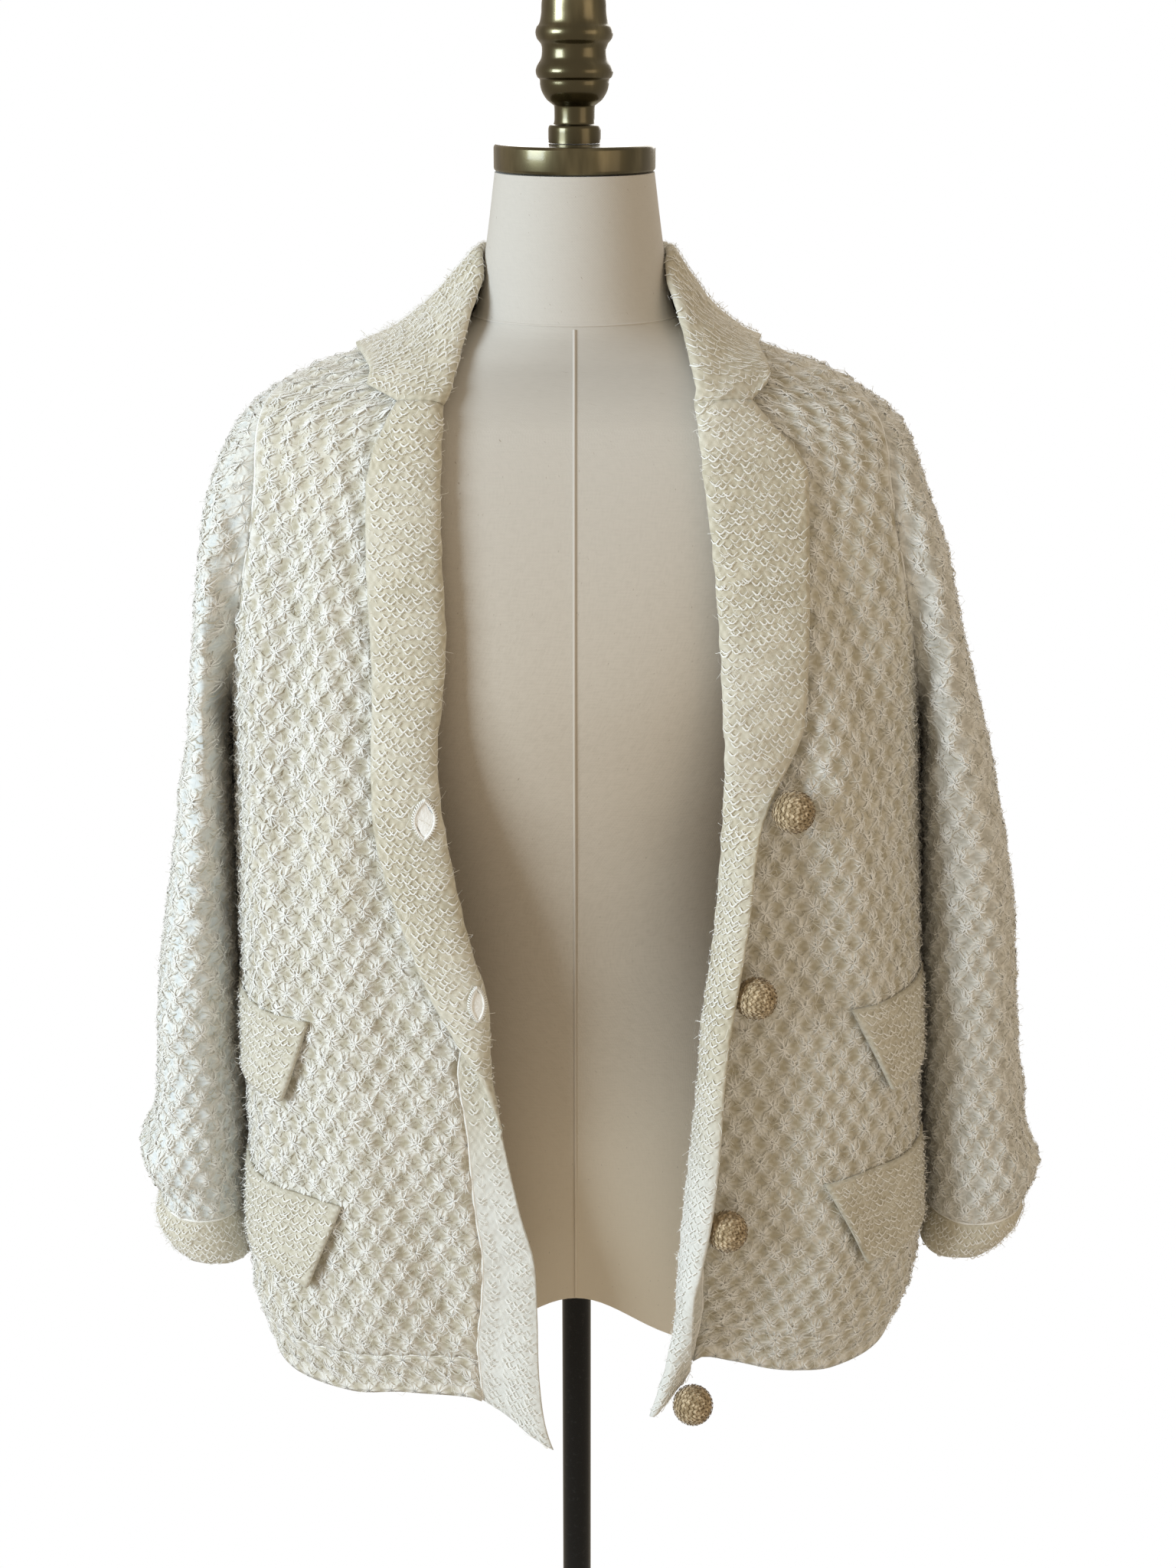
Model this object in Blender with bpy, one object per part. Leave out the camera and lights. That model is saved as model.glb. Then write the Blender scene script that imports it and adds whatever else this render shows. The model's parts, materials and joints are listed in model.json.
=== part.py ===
"""A hand-knitted cardigan hanging open on a limbless dress form with a pole stand.

Metres, +Z up. The origin is on the floor under the pole. The front faces -Y, and the wearer's left is +X.
The cloth is a wall of real thickness. Its body is a loft of rounded sections, and every piece of cloth is placed by
the angle round that body, 0 at the centre back, 90 at the side and 180 at the centre front, and by height.
"""

import bmesh
import bpy
import numpy as np
from mathutils import Vector
from mathutils.bvhtree import BVHTree

LEFT = 1
RIGHT = -1

CLOTH = 0.0025
SEAM = 0.0004
REST_GAP = 0.0004
NECK_CLEAR = 0.0012
SEAT_RISE = 0.0015
FLAP_CLEAR = 0.0008

HEM_TOP = 0.728
HEM_EDGE = 0.700
DROP_FADE = 0.110
ARM_LOW = 1.130
ARM_TOP = 1.335
ARM_DEEP = 0.060
ARM_STEPS = 10
BACK_STEPS = 8
FRONT_STEPS = 6
NECK_HEIGHT = 1.376
SHOULDER_LOW = 1.296
SHOULDER_TOP = 1.322
NECK_SET = 1.364
SIDE = 90.0

CUFF_GAP = 0.0006

CAP_RADIUS = 0.04825
CAP_HIGH = 0.016
NECK_TOP = 1.4585
POLE_RADIUS = 0.010
ARCH_TOP = 0.745
LOBE_LOW = 0.704
ARCH_WIDE = 0.055
BASE_RADIUS = 0.160
BASE_HIGH = 0.024

BUTTON_RADIUS = 0.0131


def table(names, rows):
    """A small table as named columns."""
    values = np.array(rows, dtype=float)
    return {name: values[:, k] for k, name in enumerate(names.split())}


BODY = table("height half_right half_left front back square_right square_left square_back", (
    (0.690, 0.2020, 0.2090, 0.123, 0.124, 3.1, 2.5, 3.0),
    (0.705, 0.2080, 0.2180, 0.124, 0.125, 3.1, 2.5, 3.0),
    (0.722, 0.2145, 0.2250, 0.126, 0.126, 3.1, 2.6, 3.0),
    (0.745, 0.2185, 0.2300, 0.127, 0.127, 3.2, 2.7, 3.0),
    (0.780, 0.2185, 0.2320, 0.129, 0.128, 3.2, 2.9, 3.0),
    (0.850, 0.2170, 0.2285, 0.130, 0.127, 3.1, 3.0, 3.0),
    (0.950, 0.2170, 0.2245, 0.128, 0.121, 3.0, 3.0, 2.9),
    (1.050, 0.2160, 0.2195, 0.127, 0.115, 2.9, 2.9, 2.9),
    (1.130, 0.2140, 0.2150, 0.125, 0.112, 3.0, 3.0, 3.0),
    (1.200, 0.2125, 0.2120, 0.115, 0.108, 3.1, 3.1, 3.1),
    (1.240, 0.2100, 0.2090, 0.107, 0.104, 3.0, 3.0, 3.0),
    (1.280, 0.2065, 0.2040, 0.096, 0.098, 2.8, 2.8, 2.8),
    (1.300, 0.2035, 0.1995, 0.090, 0.094, 2.7, 2.7, 2.7),
    (1.316, 0.1985, 0.1915, 0.085, 0.089, 2.5, 2.5, 2.5),
    (1.328, 0.1880, 0.1780, 0.080, 0.085, 2.4, 2.4, 2.4),
    (1.336, 0.1740, 0.1650, 0.077, 0.082, 2.3, 2.3, 2.3),
    (1.345, 0.1525, 0.1450, 0.073, 0.078, 2.2, 2.2, 2.2),
    (1.352, 0.1300, 0.1240, 0.070, 0.0745, 2.1, 2.1, 2.1),
    (1.358, 0.1080, 0.1060, 0.068, 0.0720, 2.1, 2.1, 2.1),
    (1.366, 0.0915, 0.0905, 0.066, 0.0690, 2.0, 2.0, 2.0),
    (1.378, 0.0745, 0.0745, 0.064, 0.0660, 2.0, 2.0, 2.0),
))

FORM = table("height half front back square", (
    (0.700, 0.160, 0.080, 0.100, 2.3),
    (0.745, 0.166, 0.086, 0.106, 2.3),
    (0.800, 0.170, 0.092, 0.112, 2.3),
    (0.860, 0.168, 0.091, 0.110, 2.3),
    (0.930, 0.145, 0.084, 0.088, 2.2),
    (0.985, 0.130, 0.081, 0.077, 2.2),
    (1.040, 0.135, 0.090, 0.080, 2.2),
    (1.100, 0.147, 0.106, 0.088, 2.3),
    (1.160, 0.158, 0.115, 0.095, 2.4),
    (1.210, 0.168, 0.108, 0.098, 2.6),
    (1.260, 0.178, 0.096, 0.096, 2.7),
    (1.300, 0.1870, 0.0845, 0.0890, 2.65),
    (1.316, 0.1855, 0.0790, 0.0822, 2.5),
    (1.328, 0.1720, 0.0740, 0.0778, 2.4),
    (1.336, 0.1570, 0.0710, 0.0742, 2.3),
    (1.345, 0.1330, 0.0675, 0.0700, 2.2),
    (1.352, 0.1110, 0.0652, 0.0665, 2.1),
    (1.360, 0.0910, 0.0635, 0.0632, 2.0),
    (1.367, 0.0735, 0.0620, 0.0605, 2.0),
    (1.374, 0.0625, 0.0605, 0.0585, 2.0),
    (1.380, 0.0595, 0.0585, 0.058, 2.0),
    (1.415, 0.0535, 0.0535, 0.0535, 2.0),
    (1.458, 0.0478, 0.0478, 0.0478, 2.0),
))
FORM_HEIGHTS = (0.730, 0.765, 0.800, 0.840, 0.880, 0.920, 0.955, 0.985, 1.015, 1.045, 1.075, 1.105, 1.135, 1.160,
                1.185, 1.210, 1.235, 1.260, 1.285, 1.303, 1.316, 1.328, 1.336, 1.345, 1.352, 1.358, 1.366, 1.376,
                1.400, 1.430, 1.4581)
FORM_SIDES = 32

NECKLINE = table("height angle", (
    (1.3302, 133.0),
    (1.345, 126.0),
    (1.352, 121.5),
    (1.358, 117.0),
    (1.366, 109.0),
    (1.376, 92.0),
))

COLLAR = table("seam roll_angle roll_radius roll_height free_angle free_right free_left facing", (
    (0, 0, 0.0620, 1.4130, 0, 1.3450, 1.3450, 0),
    (35, 35, 0.0605, 1.4135, 30, 1.3450, 1.3460, 35),
    (70, 70, 0.0580, 1.4140, 62, 1.3490, 1.3510, 72),
    (92, 92, 0.0570, 1.4125, 90, 1.3515, 1.3560, 98),
    (109, 112, 0.0605, 1.3990, 102, 1.3505, 1.3550, 121),
    (117, 122, 0.0725, 1.3830, 108, 1.3480, 1.3515, 137),
    (121.5, 127, 0.0815, 1.3700, 111, 1.3460, 1.3480, 148),
    (126, 131, 0.0905, 1.3565, 113, 1.3440, 1.3455, 157),
    (131, 135.5, 0.1035, 1.3400, 114.5, 1.3415, 1.3430, 166),
))

# The fronts, measured outwards from the centre: the fold or edge, how far it stands off the body, the free edge of
# the part that is turned back, how far that stands off, and the width from the fold to the seam with the front.
FRONT_RIGHT = table("height fold fold_off free free_off flat", (
    (0.690, 0.0105, 0.018, 0.0105, 0.018, 0.050),
    (0.715, 0.0195, 0.011, 0.0195, 0.011, 0.042),
    (0.740, 0.0233, 0.007, 0.0233, 0.007, 0.040),
    (0.770, 0.0242, 0.004, 0.0242, 0.004, 0.036),
    (0.800, 0.0262, 0.003, 0.0262, 0.003, 0.033),
    (0.830, 0.0340, 0.002, 0.0340, 0.002, 0.029),
    (0.870, 0.0422, 0.002, 0.0422, 0.002, 0.024),
    (0.888, 0.0455, 0.002, 0.0455, 0.003, 0.022),
    (0.905, 0.0485, 0.002, 0.0487, 0.007, 0.0215),
    (0.925, 0.0515, 0.003, 0.0565, 0.008, 0.021),
    (0.942, 0.0525, 0.003, 0.0665, 0.007, 0.018),
    (0.960, 0.0527, 0.003, 0.0770, 0.006, 0.012),
    (0.980, 0.0545, 0.003, 0.0870, 0.006, 0.007),
    (1.005, 0.0620, 0.003, 0.0965, 0.006, 0.006),
    (1.040, 0.0700, 0.003, 0.1085, 0.006, 0.006),
    (1.070, 0.0755, 0.003, 0.1160, 0.006, 0.006),
    (1.100, 0.0800, 0.003, 0.1188, 0.006, 0.006),
    (1.132, 0.0818, 0.003, 0.1185, 0.006, 0.006),
    (1.168, 0.0780, 0.003, 0.1173, 0.006, 0.006),
    (1.200, 0.0760, 0.003, 0.1180, 0.006, 0.006),
    (1.245, 0.0780, 0.003, 0.1200, 0.006, 0.006),
    (1.280, 0.0787, 0.003, 0.1200, 0.006, 0.006),
    (1.305, 0.0780, 0.003, 0.1150, 0.006, 0.006),
    (1.322, 0.0773, 0.003, 0.1065, 0.006, 0.006),
    (1.331, 0.0768, 0.003, 0.1010, 0.006, 0.006),
))

FRONT_LEFT = table("height fold fold_off free free_off flat", (
    (0.690, 0.0440, 0.024, 0.0715, 0.008, 0.030),
    (0.703, 0.0490, 0.020, 0.0720, 0.010, 0.027),
    (0.716, 0.0560, 0.013, 0.0722, 0.014, 0.022),
    (0.745, 0.0635, 0.006, 0.0726, 0.020, 0.018),
    (0.780, 0.0652, 0.003, 0.0731, 0.026, 0.016),
    (0.810, 0.0668, 0.002, 0.0775, 0.029, 0.015),
    (0.845, 0.0695, 0.002, 0.0825, 0.031, 0.015),
    (0.890, 0.0735, 0.002, 0.0862, 0.031, 0.014),
    (0.930, 0.0768, 0.002, 0.0880, 0.031, 0.011),
    (0.960, 0.0780, 0.002, 0.0905, 0.030, 0.009),
    (1.004, 0.0832, 0.002, 0.0965, 0.028, 0.007),
    (1.040, 0.0864, 0.002, 0.1010, 0.026, 0.006),
    (1.070, 0.0879, 0.003, 0.1040, 0.022, 0.006),
    (1.090, 0.0887, 0.003, 0.1080, 0.017, 0.006),
    (1.110, 0.0894, 0.003, 0.1165, 0.012, 0.006),
    (1.128, 0.0897, 0.003, 0.1270, 0.008, 0.006),
    (1.150, 0.0885, 0.003, 0.1335, 0.0065, 0.006),
    (1.193, 0.0863, 0.003, 0.1345, 0.006, 0.006),
    (1.230, 0.0834, 0.003, 0.1345, 0.006, 0.006),
    (1.260, 0.0803, 0.003, 0.1350, 0.006, 0.006),
    (1.287, 0.0765, 0.003, 0.1350, 0.006, 0.006),
    (1.300, 0.0750, 0.003, 0.1305, 0.006, 0.006),
    (1.318, 0.0728, 0.003, 0.1130, 0.006, 0.006),
    (1.331, 0.0705, 0.003, 0.1015, 0.006, 0.006),
))
FRONTS = {LEFT: FRONT_LEFT, RIGHT: FRONT_RIGHT}
COLLAR_CORNER = {LEFT: (0.1125, 0.009), RIGHT: (0.1210, 0.008)}

# How far the lower edge hangs below the level hem, along the width of the garment.
HEM_DROP = table("across drop", (
    (-0.230, 0.000),
    (-0.185, 0.008),
    (-0.146, 0.008),
    (-0.110, 0.003),
    (-0.070, 0.004),
    (-0.054, 0.011),
    (-0.040, 0.022),
    (-0.026, 0.032),
    (-0.012, 0.033),
    (0.040, 0.008),
    (0.048, 0.005),
    (0.056, -0.004),
    (0.066, -0.014),
    (0.074, -0.020),
    (0.082, -0.024),
    (0.102, -0.018),
    (0.132, -0.0075),
    (0.149, -0.003),
    (0.167, 0.001),
    (0.200, 0.002),
    (0.235, 0.000),
))

# Each ring of a sleeve: its outer point and its inner point beside the body, as distance from the centre plane and
# height, then half its depth. The last two rows are the cuff.
SLEEVE_RIGHT = table("outer outer_height inner inner_height half_deep", (
    (0.2000, 1.3165, 0.2168, 1.1340, 0.0655),
    (0.2126, 1.2990, 0.2190, 1.1290, 0.0700),
    (0.2235, 1.2730, 0.2200, 1.1190, 0.0735),
    (0.2300, 1.2350, 0.2205, 1.1050, 0.0755),
    (0.2345, 1.1950, 0.2208, 1.0870, 0.0765),
    (0.2400, 1.1500, 0.2212, 1.0640, 0.0760),
    (0.2455, 1.1050, 0.2215, 1.0370, 0.0740),
    (0.2560, 1.0500, 0.2218, 1.0000, 0.0715),
    (0.2640, 1.0050, 0.2220, 0.9630, 0.0690),
    (0.2722, 0.9550, 0.2220, 0.9230, 0.0660),
    (0.2762, 0.9080, 0.2222, 0.8850, 0.0630),
    (0.2808, 0.8620, 0.2222, 0.8480, 0.0600),
    (0.2895, 0.8280, 0.2226, 0.8200, 0.0585),
    (0.2900, 0.8080, 0.2228, 0.8030, 0.0575),
    (0.2815, 0.7860, 0.2225, 0.7820, 0.0555),
    (0.2865, 0.7660, 0.2222, 0.7660, 0.0560),
    (0.2840, 0.7515, 0.2225, 0.7520, 0.0555),
))
SLEEVE_LEFT = table("outer outer_height inner inner_height half_deep", (
    (0.1990, 1.3110, 0.2170, 1.1340, 0.0655),
    (0.2095, 1.2890, 0.2195, 1.1290, 0.0700),
    (0.2200, 1.2600, 0.2205, 1.1190, 0.0735),
    (0.2300, 1.2330, 0.2215, 1.1050, 0.0755),
    (0.2370, 1.2000, 0.2220, 1.0870, 0.0765),
    (0.2505, 1.1500, 0.2230, 1.0640, 0.0760),
    (0.2645, 1.1000, 0.2245, 1.0370, 0.0740),
    (0.2745, 1.0500, 0.2262, 1.0000, 0.0715),
    (0.2840, 1.0040, 0.2282, 0.9620, 0.0695),
    (0.2885, 0.9550, 0.2302, 0.9220, 0.0670),
    (0.2920, 0.9080, 0.2325, 0.8830, 0.0645),
    (0.2980, 0.8620, 0.2345, 0.8460, 0.0615),
    (0.3060, 0.8280, 0.2358, 0.8210, 0.0605),
    (0.3085, 0.8060, 0.2366, 0.8010, 0.0595),
    (0.3060, 0.7830, 0.2372, 0.7810, 0.0575),
    (0.3040, 0.7690, 0.2374, 0.7690, 0.0565),
    (0.2985, 0.7560, 0.2380, 0.7560, 0.0550),
))
SLEEVES = {LEFT: SLEEVE_LEFT, RIGHT: SLEEVE_RIGHT}
SLEEVE_ROWS = 15
SLEEVE_BACK = 0.004
CUFF_LEAN = 0.012
CUFF_TOP = 0.782
SLEEVE_SQUARE = 2.3

# A pocket flap: its top, its height, the angle of its front edge at the top and at the bottom.
FLAPS = {
    "flap_upper_right": (RIGHT, 0.952, 0.056, 122.5, 118.0),
    "flap_lower_right": (RIGHT, 0.831, 0.058, 128.5, 122.5),
    "flap_upper_left": (LEFT, 0.962, 0.059, 122.0, 115.5),
    "flap_lower_left": (LEFT, 0.847, 0.063, 126.5, 118.5),
}
FLAP_END = 98.0
FLAP_LIFT = 0.0050

# The buttons, top to bottom: height, and how far the ball's centre lies outwards from the centre plane and forwards.
BUTTONS = table("height across forward", (
    (1.1020, 0.1262, 0.1370),
    (0.9850, 0.1085, 0.1450),
    (0.8300, 0.0958, 0.1480),
    (0.7030, 0.0735, 0.1420),
))


def read(tab, name, at):
    """A column's smooth value where the table's first column has the value at."""
    keys = next(iter(tab.values()))
    values = tab[name]
    rise = np.diff(values) / np.diff(keys)
    slope = np.concatenate([rise[:1], (rise[1:] + rise[:-1]) / 2, rise[-1:]])
    slope[1:-1] = np.where(rise[1:] * rise[:-1] > 0, slope[1:-1], 0.0)
    steepest = 3 * np.minimum(np.abs(np.append(rise, rise[-1])), np.abs(np.append(rise[0], rise)))
    slope = np.clip(slope, -steepest, steepest)
    at = np.clip(np.asarray(at, dtype=float), keys[0], keys[-1])
    k = np.clip(np.searchsorted(keys, at, side="right") - 1, 0, len(keys) - 2)
    wide = keys[k + 1] - keys[k]
    t = (at - keys[k]) / wide
    start = (1 + 2 * t) * (1 - t) ** 2 * values[k] + t * (1 - t) ** 2 * wide * slope[k]
    end = t * t * (3 - 2 * t) * values[k + 1] + t * t * (t - 1) * wide * slope[k + 1]
    return start + end


def step(low, high, at):
    """0 below low, 1 above high, smooth between."""
    t = np.clip((at - low) / (high - low), 0, 1)
    return t * t * (3 - 2 * t)


def ring_point(side, angle, height, half, front, back, square):
    """A point of a rounded section: angle 0 at the back, 90 at the side and 180 at the front."""
    turn = np.radians(angle)
    deep = np.where(np.cos(turn) > 0, back, front)
    reach = (np.abs(np.sin(turn)) / half) ** square + (np.abs(np.cos(turn)) / deep) ** square
    reach = reach ** (-1 / square)
    x = side * reach * np.sin(turn)
    y = reach * np.cos(turn)
    return np.stack(np.broadcast_arrays(x, y, height), axis=-1).astype(float)


def moved_out(place, side, angle, height, out):
    """A point of the surface place(side, angle, height), moved out along the surface's own normal."""
    tiny_angle, tiny_height = 0.5, 0.0015
    round_it = place(side, angle + tiny_angle, height) - place(side, angle - tiny_angle, height)
    up_it = place(side, angle, height + tiny_height) - place(side, angle, height - tiny_height)
    normal = np.cross(up_it, round_it) * side
    normal = normal / np.linalg.norm(normal, axis=-1, keepdims=True)
    return place(side, angle, height) + normal * np.asarray(out)[..., None]


def cloth_face(side, angle, height):
    """The outer face of the cardigan's body, without its hem's droop."""
    word = "left" if side == LEFT else "right"
    square = np.where(np.cos(np.radians(angle)) > 0, read(BODY, "square_back", height),
                      read(BODY, f"square_{word}", height))
    return ring_point(side, angle, height, read(BODY, f"half_{word}", height), read(BODY, "front", height),
                      read(BODY, "back", height), square)


def cloth(side, angle, height, out=0.0):
    """A point on the cardigan's body, moved out from its outer face."""
    angle, height, out = np.broadcast_arrays(np.asarray(angle, float), np.asarray(height, float), out)
    point = moved_out(cloth_face, side, angle, height, out)
    return hung(point, height)


def hung(point, height):
    """The point let down by the droop of the hem."""
    fade = (1 - step(HEM_EDGE, HEM_EDGE + DROP_FADE, height)) * step(0.0, 0.07, -point[..., 1])
    point[..., 2] -= read(HEM_DROP, "drop", point[..., 0]) * fade
    return point


def form_face(side, angle, height):
    """The dress form's own sections."""
    return ring_point(side, angle, height, read(FORM, "half", height), read(FORM, "front", height),
                      read(FORM, "back", height), read(FORM, "square", height))


def seated(points, cloths):
    """The form's shoulder points, moved to lie just under the cloth that rests on them."""
    trees = [BVHTree.FromPolygons([v.co for v in c.data.vertices], [tuple(p.vertices) for p in c.data.polygons])
             for c in cloths]
    made = points.copy()
    for k, point in enumerate(points):
        share = float(step(SHOULDER_LOW, SHOULDER_TOP, point[2]) * (1 - step(NECK_SET, NECK_HEIGHT, point[2])))
        if share <= 0:
            continue
        inside = np.array([point[0] * 0.85, point[1] * 0.60, point[2] - 0.035])
        way = point - inside
        way = way / np.linalg.norm(way)
        starts = [Vector(inside + np.array([0, aside, 0])) for aside in (-0.004, 0.0, 0.004)]
        hits = [tree.ray_cast(start, Vector(way)) for tree in trees for start in starts]
        hits = [hit for hit in hits if hit[0] is not None]
        if hits:
            near = min(hits, key=lambda hit: hit[3])
            lean = max(abs(float(np.dot(way, near[1]))), 0.3)
            reach = near[3] - (REST_GAP + NECK_CLEAR * step(ARM_TOP, NECK_HEIGHTS[1], point[2])) / lean
            now = np.linalg.norm(point - inside)
            reach = min(reach, now + SEAT_RISE)
            made[k] = inside + way * (now + (reach - now) * share)
    return made


def angle_of(side, height, value, axis):
    """The angle, from side to front, at which the body's x or depth has the value."""
    angles = np.linspace(SIDE, 180, 361)
    face = cloth_face(side, angles, np.full(angles.shape, height))
    if axis == "x":
        return float(np.interp(-value, -np.abs(face[:, 0]), angles))
    return float(np.interp(value, -face[:, 1], angles))


def armhole_depth(height):
    """How far the armhole reaches from the side line at a height."""
    middle, half = (ARM_TOP + ARM_LOW) / 2, (ARM_TOP - ARM_LOW) / 2
    return ARM_DEEP * np.sqrt(np.clip(1 - ((height - middle) / half) ** 2, 0, 1))


def armhole_angle(side, height, shrink=0.0):
    """The angle of the armhole's edge, in front of the side line."""
    deep = max(armhole_depth(height) - shrink, SEAM / 2)
    return angle_of(side, height, deep, "depth")


def back_angle(side, height):
    """The angle of the armhole's edge behind the side line, which is as deep."""
    deep = max(armhole_depth(height), SEAM / 2)
    angles = np.linspace(0, SIDE, 361)
    face = cloth_face(side, angles, np.full(angles.shape, height))
    return float(np.interp(-deep, -face[:, 1], angles))


def seam_angle(side, height):
    """The angle of the seam between a front and its band, or of the neckline above the gorge."""
    if height > 1.3303:
        return float(read(NECKLINE, "angle", height))
    front = FRONTS[side]
    return angle_of(side, height, float(read(front, "fold", height) + read(front, "flat", height)), "x")


ARM_MIDDLE = (ARM_TOP + ARM_LOW) / 2
ARM_HALF = (ARM_TOP - ARM_LOW) / 2
ARM_HEIGHTS = [ARM_MIDDLE - ARM_HALF * np.cos(np.pi * k / ARM_STEPS) for k in range(ARM_STEPS + 1)]
LOW_HEIGHTS = [0.745, 0.765, 0.790, 0.815, 0.840, 0.870, 0.900, 0.925, 0.942, 0.958, 0.975, 0.995, 1.020, 1.045,
               1.070, 1.090, 1.110]
NECK_HEIGHTS = [1.345, 1.352, 1.358, 1.366, NECK_HEIGHT]
PANEL_HEIGHTS = [HEM_TOP + SEAM] + LOW_HEIGHTS + ARM_HEIGHTS + NECK_HEIGHTS
GORGE = ARM_HEIGHTS[-2]
UNDER = (0.0, 0.5, 0.84, 1.0)
BAND_OVER = (0.0, 0.07, 0.17, 0.33, 0.55, 0.78, 1.0)
COLLAR_OVER = (0.0, 0.05, 0.12, 0.22, 0.36, 0.52, 0.68, 0.84, 1.0)
COLLAR_OFF = 0.0045
BAND_HEIGHTS = [HEM_EDGE, (HEM_EDGE + HEM_TOP) / 2, HEM_TOP + SEAM] + LOW_HEIGHTS + ARM_HEIGHTS[:-1]


def material(name, colour, roughness, metallic=0.0):
    """A plain named material."""
    made = bpy.data.materials.new(name)
    made.use_nodes = True
    made.diffuse_color = (*colour, 1)
    shader = made.node_tree.nodes["Principled BSDF"]
    shader.inputs["Base Color"].default_value = (*colour, 1)
    shader.inputs["Roughness"].default_value = roughness
    shader.inputs["Metallic"].default_value = metallic
    return made


def add(name, points, faces, finish):
    """A named object from points and faces, with its faces turned outwards."""
    mesh = bpy.data.meshes.new(name)
    mesh.from_pydata([tuple(p) for p in points], [], faces)
    work = bmesh.new()
    work.from_mesh(mesh)
    bmesh.ops.recalc_face_normals(work, faces=work.faces)
    bmesh.ops.triangulate(work, faces=work.faces, quad_method="SHORT_EDGE")
    work.to_mesh(mesh)
    work.free()
    mesh.shade_smooth()
    mesh.set_sharp_from_angle(angle=np.radians(50))
    mesh.materials.append(finish)
    made = bpy.data.objects.new(name, mesh)
    bpy.context.collection.objects.link(made)
    return made


def wall(name, outer, inner, finish, tube=False):
    """A closed wall between two grids of points, rows by columns. A tube's columns go all the way round."""
    rows, columns = outer.shape[:2]
    points = np.concatenate([outer.reshape(-1, 3), inner.reshape(-1, 3)])
    half = rows * columns
    faces = []
    across = columns if tube else columns - 1

    def at(row, column, face=0):
        return face * half + row * columns + column % columns

    for r in range(rows - 1):
        for c in range(across):
            faces.append((at(r, c), at(r, c + 1), at(r + 1, c + 1), at(r + 1, c)))
            faces.append((at(r, c, 1), at(r + 1, c, 1), at(r + 1, c + 1, 1), at(r, c + 1, 1)))
    for c in range(across):
        faces.append((at(0, c), at(0, c, 1), at(0, c + 1, 1), at(0, c + 1)))
        faces.append((at(rows - 1, c), at(rows - 1, c + 1), at(rows - 1, c + 1, 1), at(rows - 1, c, 1)))
    if not tube:
        last = columns - 1
        for r in range(rows - 1):
            faces.append((at(r, 0), at(r + 1, 0), at(r + 1, 0, 1), at(r, 0, 1)))
            faces.append((at(r, last), at(r, last, 1), at(r + 1, last, 1), at(r + 1, last)))
    return add(name, points, faces, finish)


def grid_normals(grid, tube=False):
    """Unit normals of a grid of points, from its rows and columns."""
    down = np.gradient(grid, axis=0)
    if tube:
        along = np.roll(grid, -1, axis=1) - np.roll(grid, 1, axis=1)
    else:
        along = np.gradient(grid, axis=1)
    normal = np.cross(along, down)
    return normal / np.linalg.norm(normal, axis=-1, keepdims=True)


def spread(side, height, first, last, steps):
    """Angles from first to last, closer together where the section is rounder."""
    half = float(read(BODY, "half_left" if side == LEFT else "half_right", height))
    deep = float(read(BODY, "front", height))

    def squashed(angle):
        return np.arctan2(np.sin(np.radians(angle)) * deep, np.cos(np.radians(angle)) * half)

    turns = np.linspace(squashed(first), squashed(last), steps + 1)
    return np.degrees(np.arctan2(np.sin(turns) * half, np.cos(turns) * deep))


def body_panel(name, side, heights, start, end, steps, finish):
    """A panel of the cardigan's body between two angles, which may change with height."""
    outer, inner = [], []
    for height in heights:
        angles = spread(side, height, start(height), end(height), steps)
        level = np.full(angles.shape, height)
        outer.append(cloth(side, angles, level))
        inner.append(cloth(side, angles, level, -CLOTH))
    return wall(name, np.array(outer), np.array(inner), finish)


def seam_turn(height, wide):
    """The angle round the body that a small width takes up at a height."""
    return np.degrees(wide / read(BODY, "front", height))


def front_panel(side, finish):
    name = "front_left" if side == LEFT else "front_right"
    return body_panel(name, side, PANEL_HEIGHTS, lambda h: armhole_angle(side, h),
                      lambda h: seam_angle(side, h), FRONT_STEPS, finish)


def back_panel(name, heights, finish):
    """The back, or its hem band, from side seam to side seam."""
    outer, inner = [], []
    for height in heights:
        for rows, out in ((outer, 0.0), (inner, -CLOTH)):
            half = {}
            for side in (LEFT, RIGHT):
                angles = spread(side, height, 0, back_angle(side, height), BACK_STEPS)
                half[side] = cloth(side, angles, np.full(angles.shape, height), out)
            rows.append(np.concatenate([half[RIGHT][::-1], half[LEFT][1:]]))
    return wall(name, np.array(outer), np.array(inner), finish)


def bezier(a, b, c, d, count):
    """Points along a cubic curve."""
    t = np.linspace(0, 1, count)[:, None]
    return (1 - t) ** 3 * a + 3 * t * (1 - t) ** 2 * b + 3 * t * t * (1 - t) * c + t ** 3 * d


def length(path):
    """The distance run at each point of a path."""
    return np.concatenate([[0], np.cumsum(np.linalg.norm(np.diff(path, axis=0), axis=1))])


def sampled(path, at):
    """The path read at the given distances."""
    run = length(path)
    return np.stack([np.interp(at, run, path[:, k]) for k in range(3)], axis=1)


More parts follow.
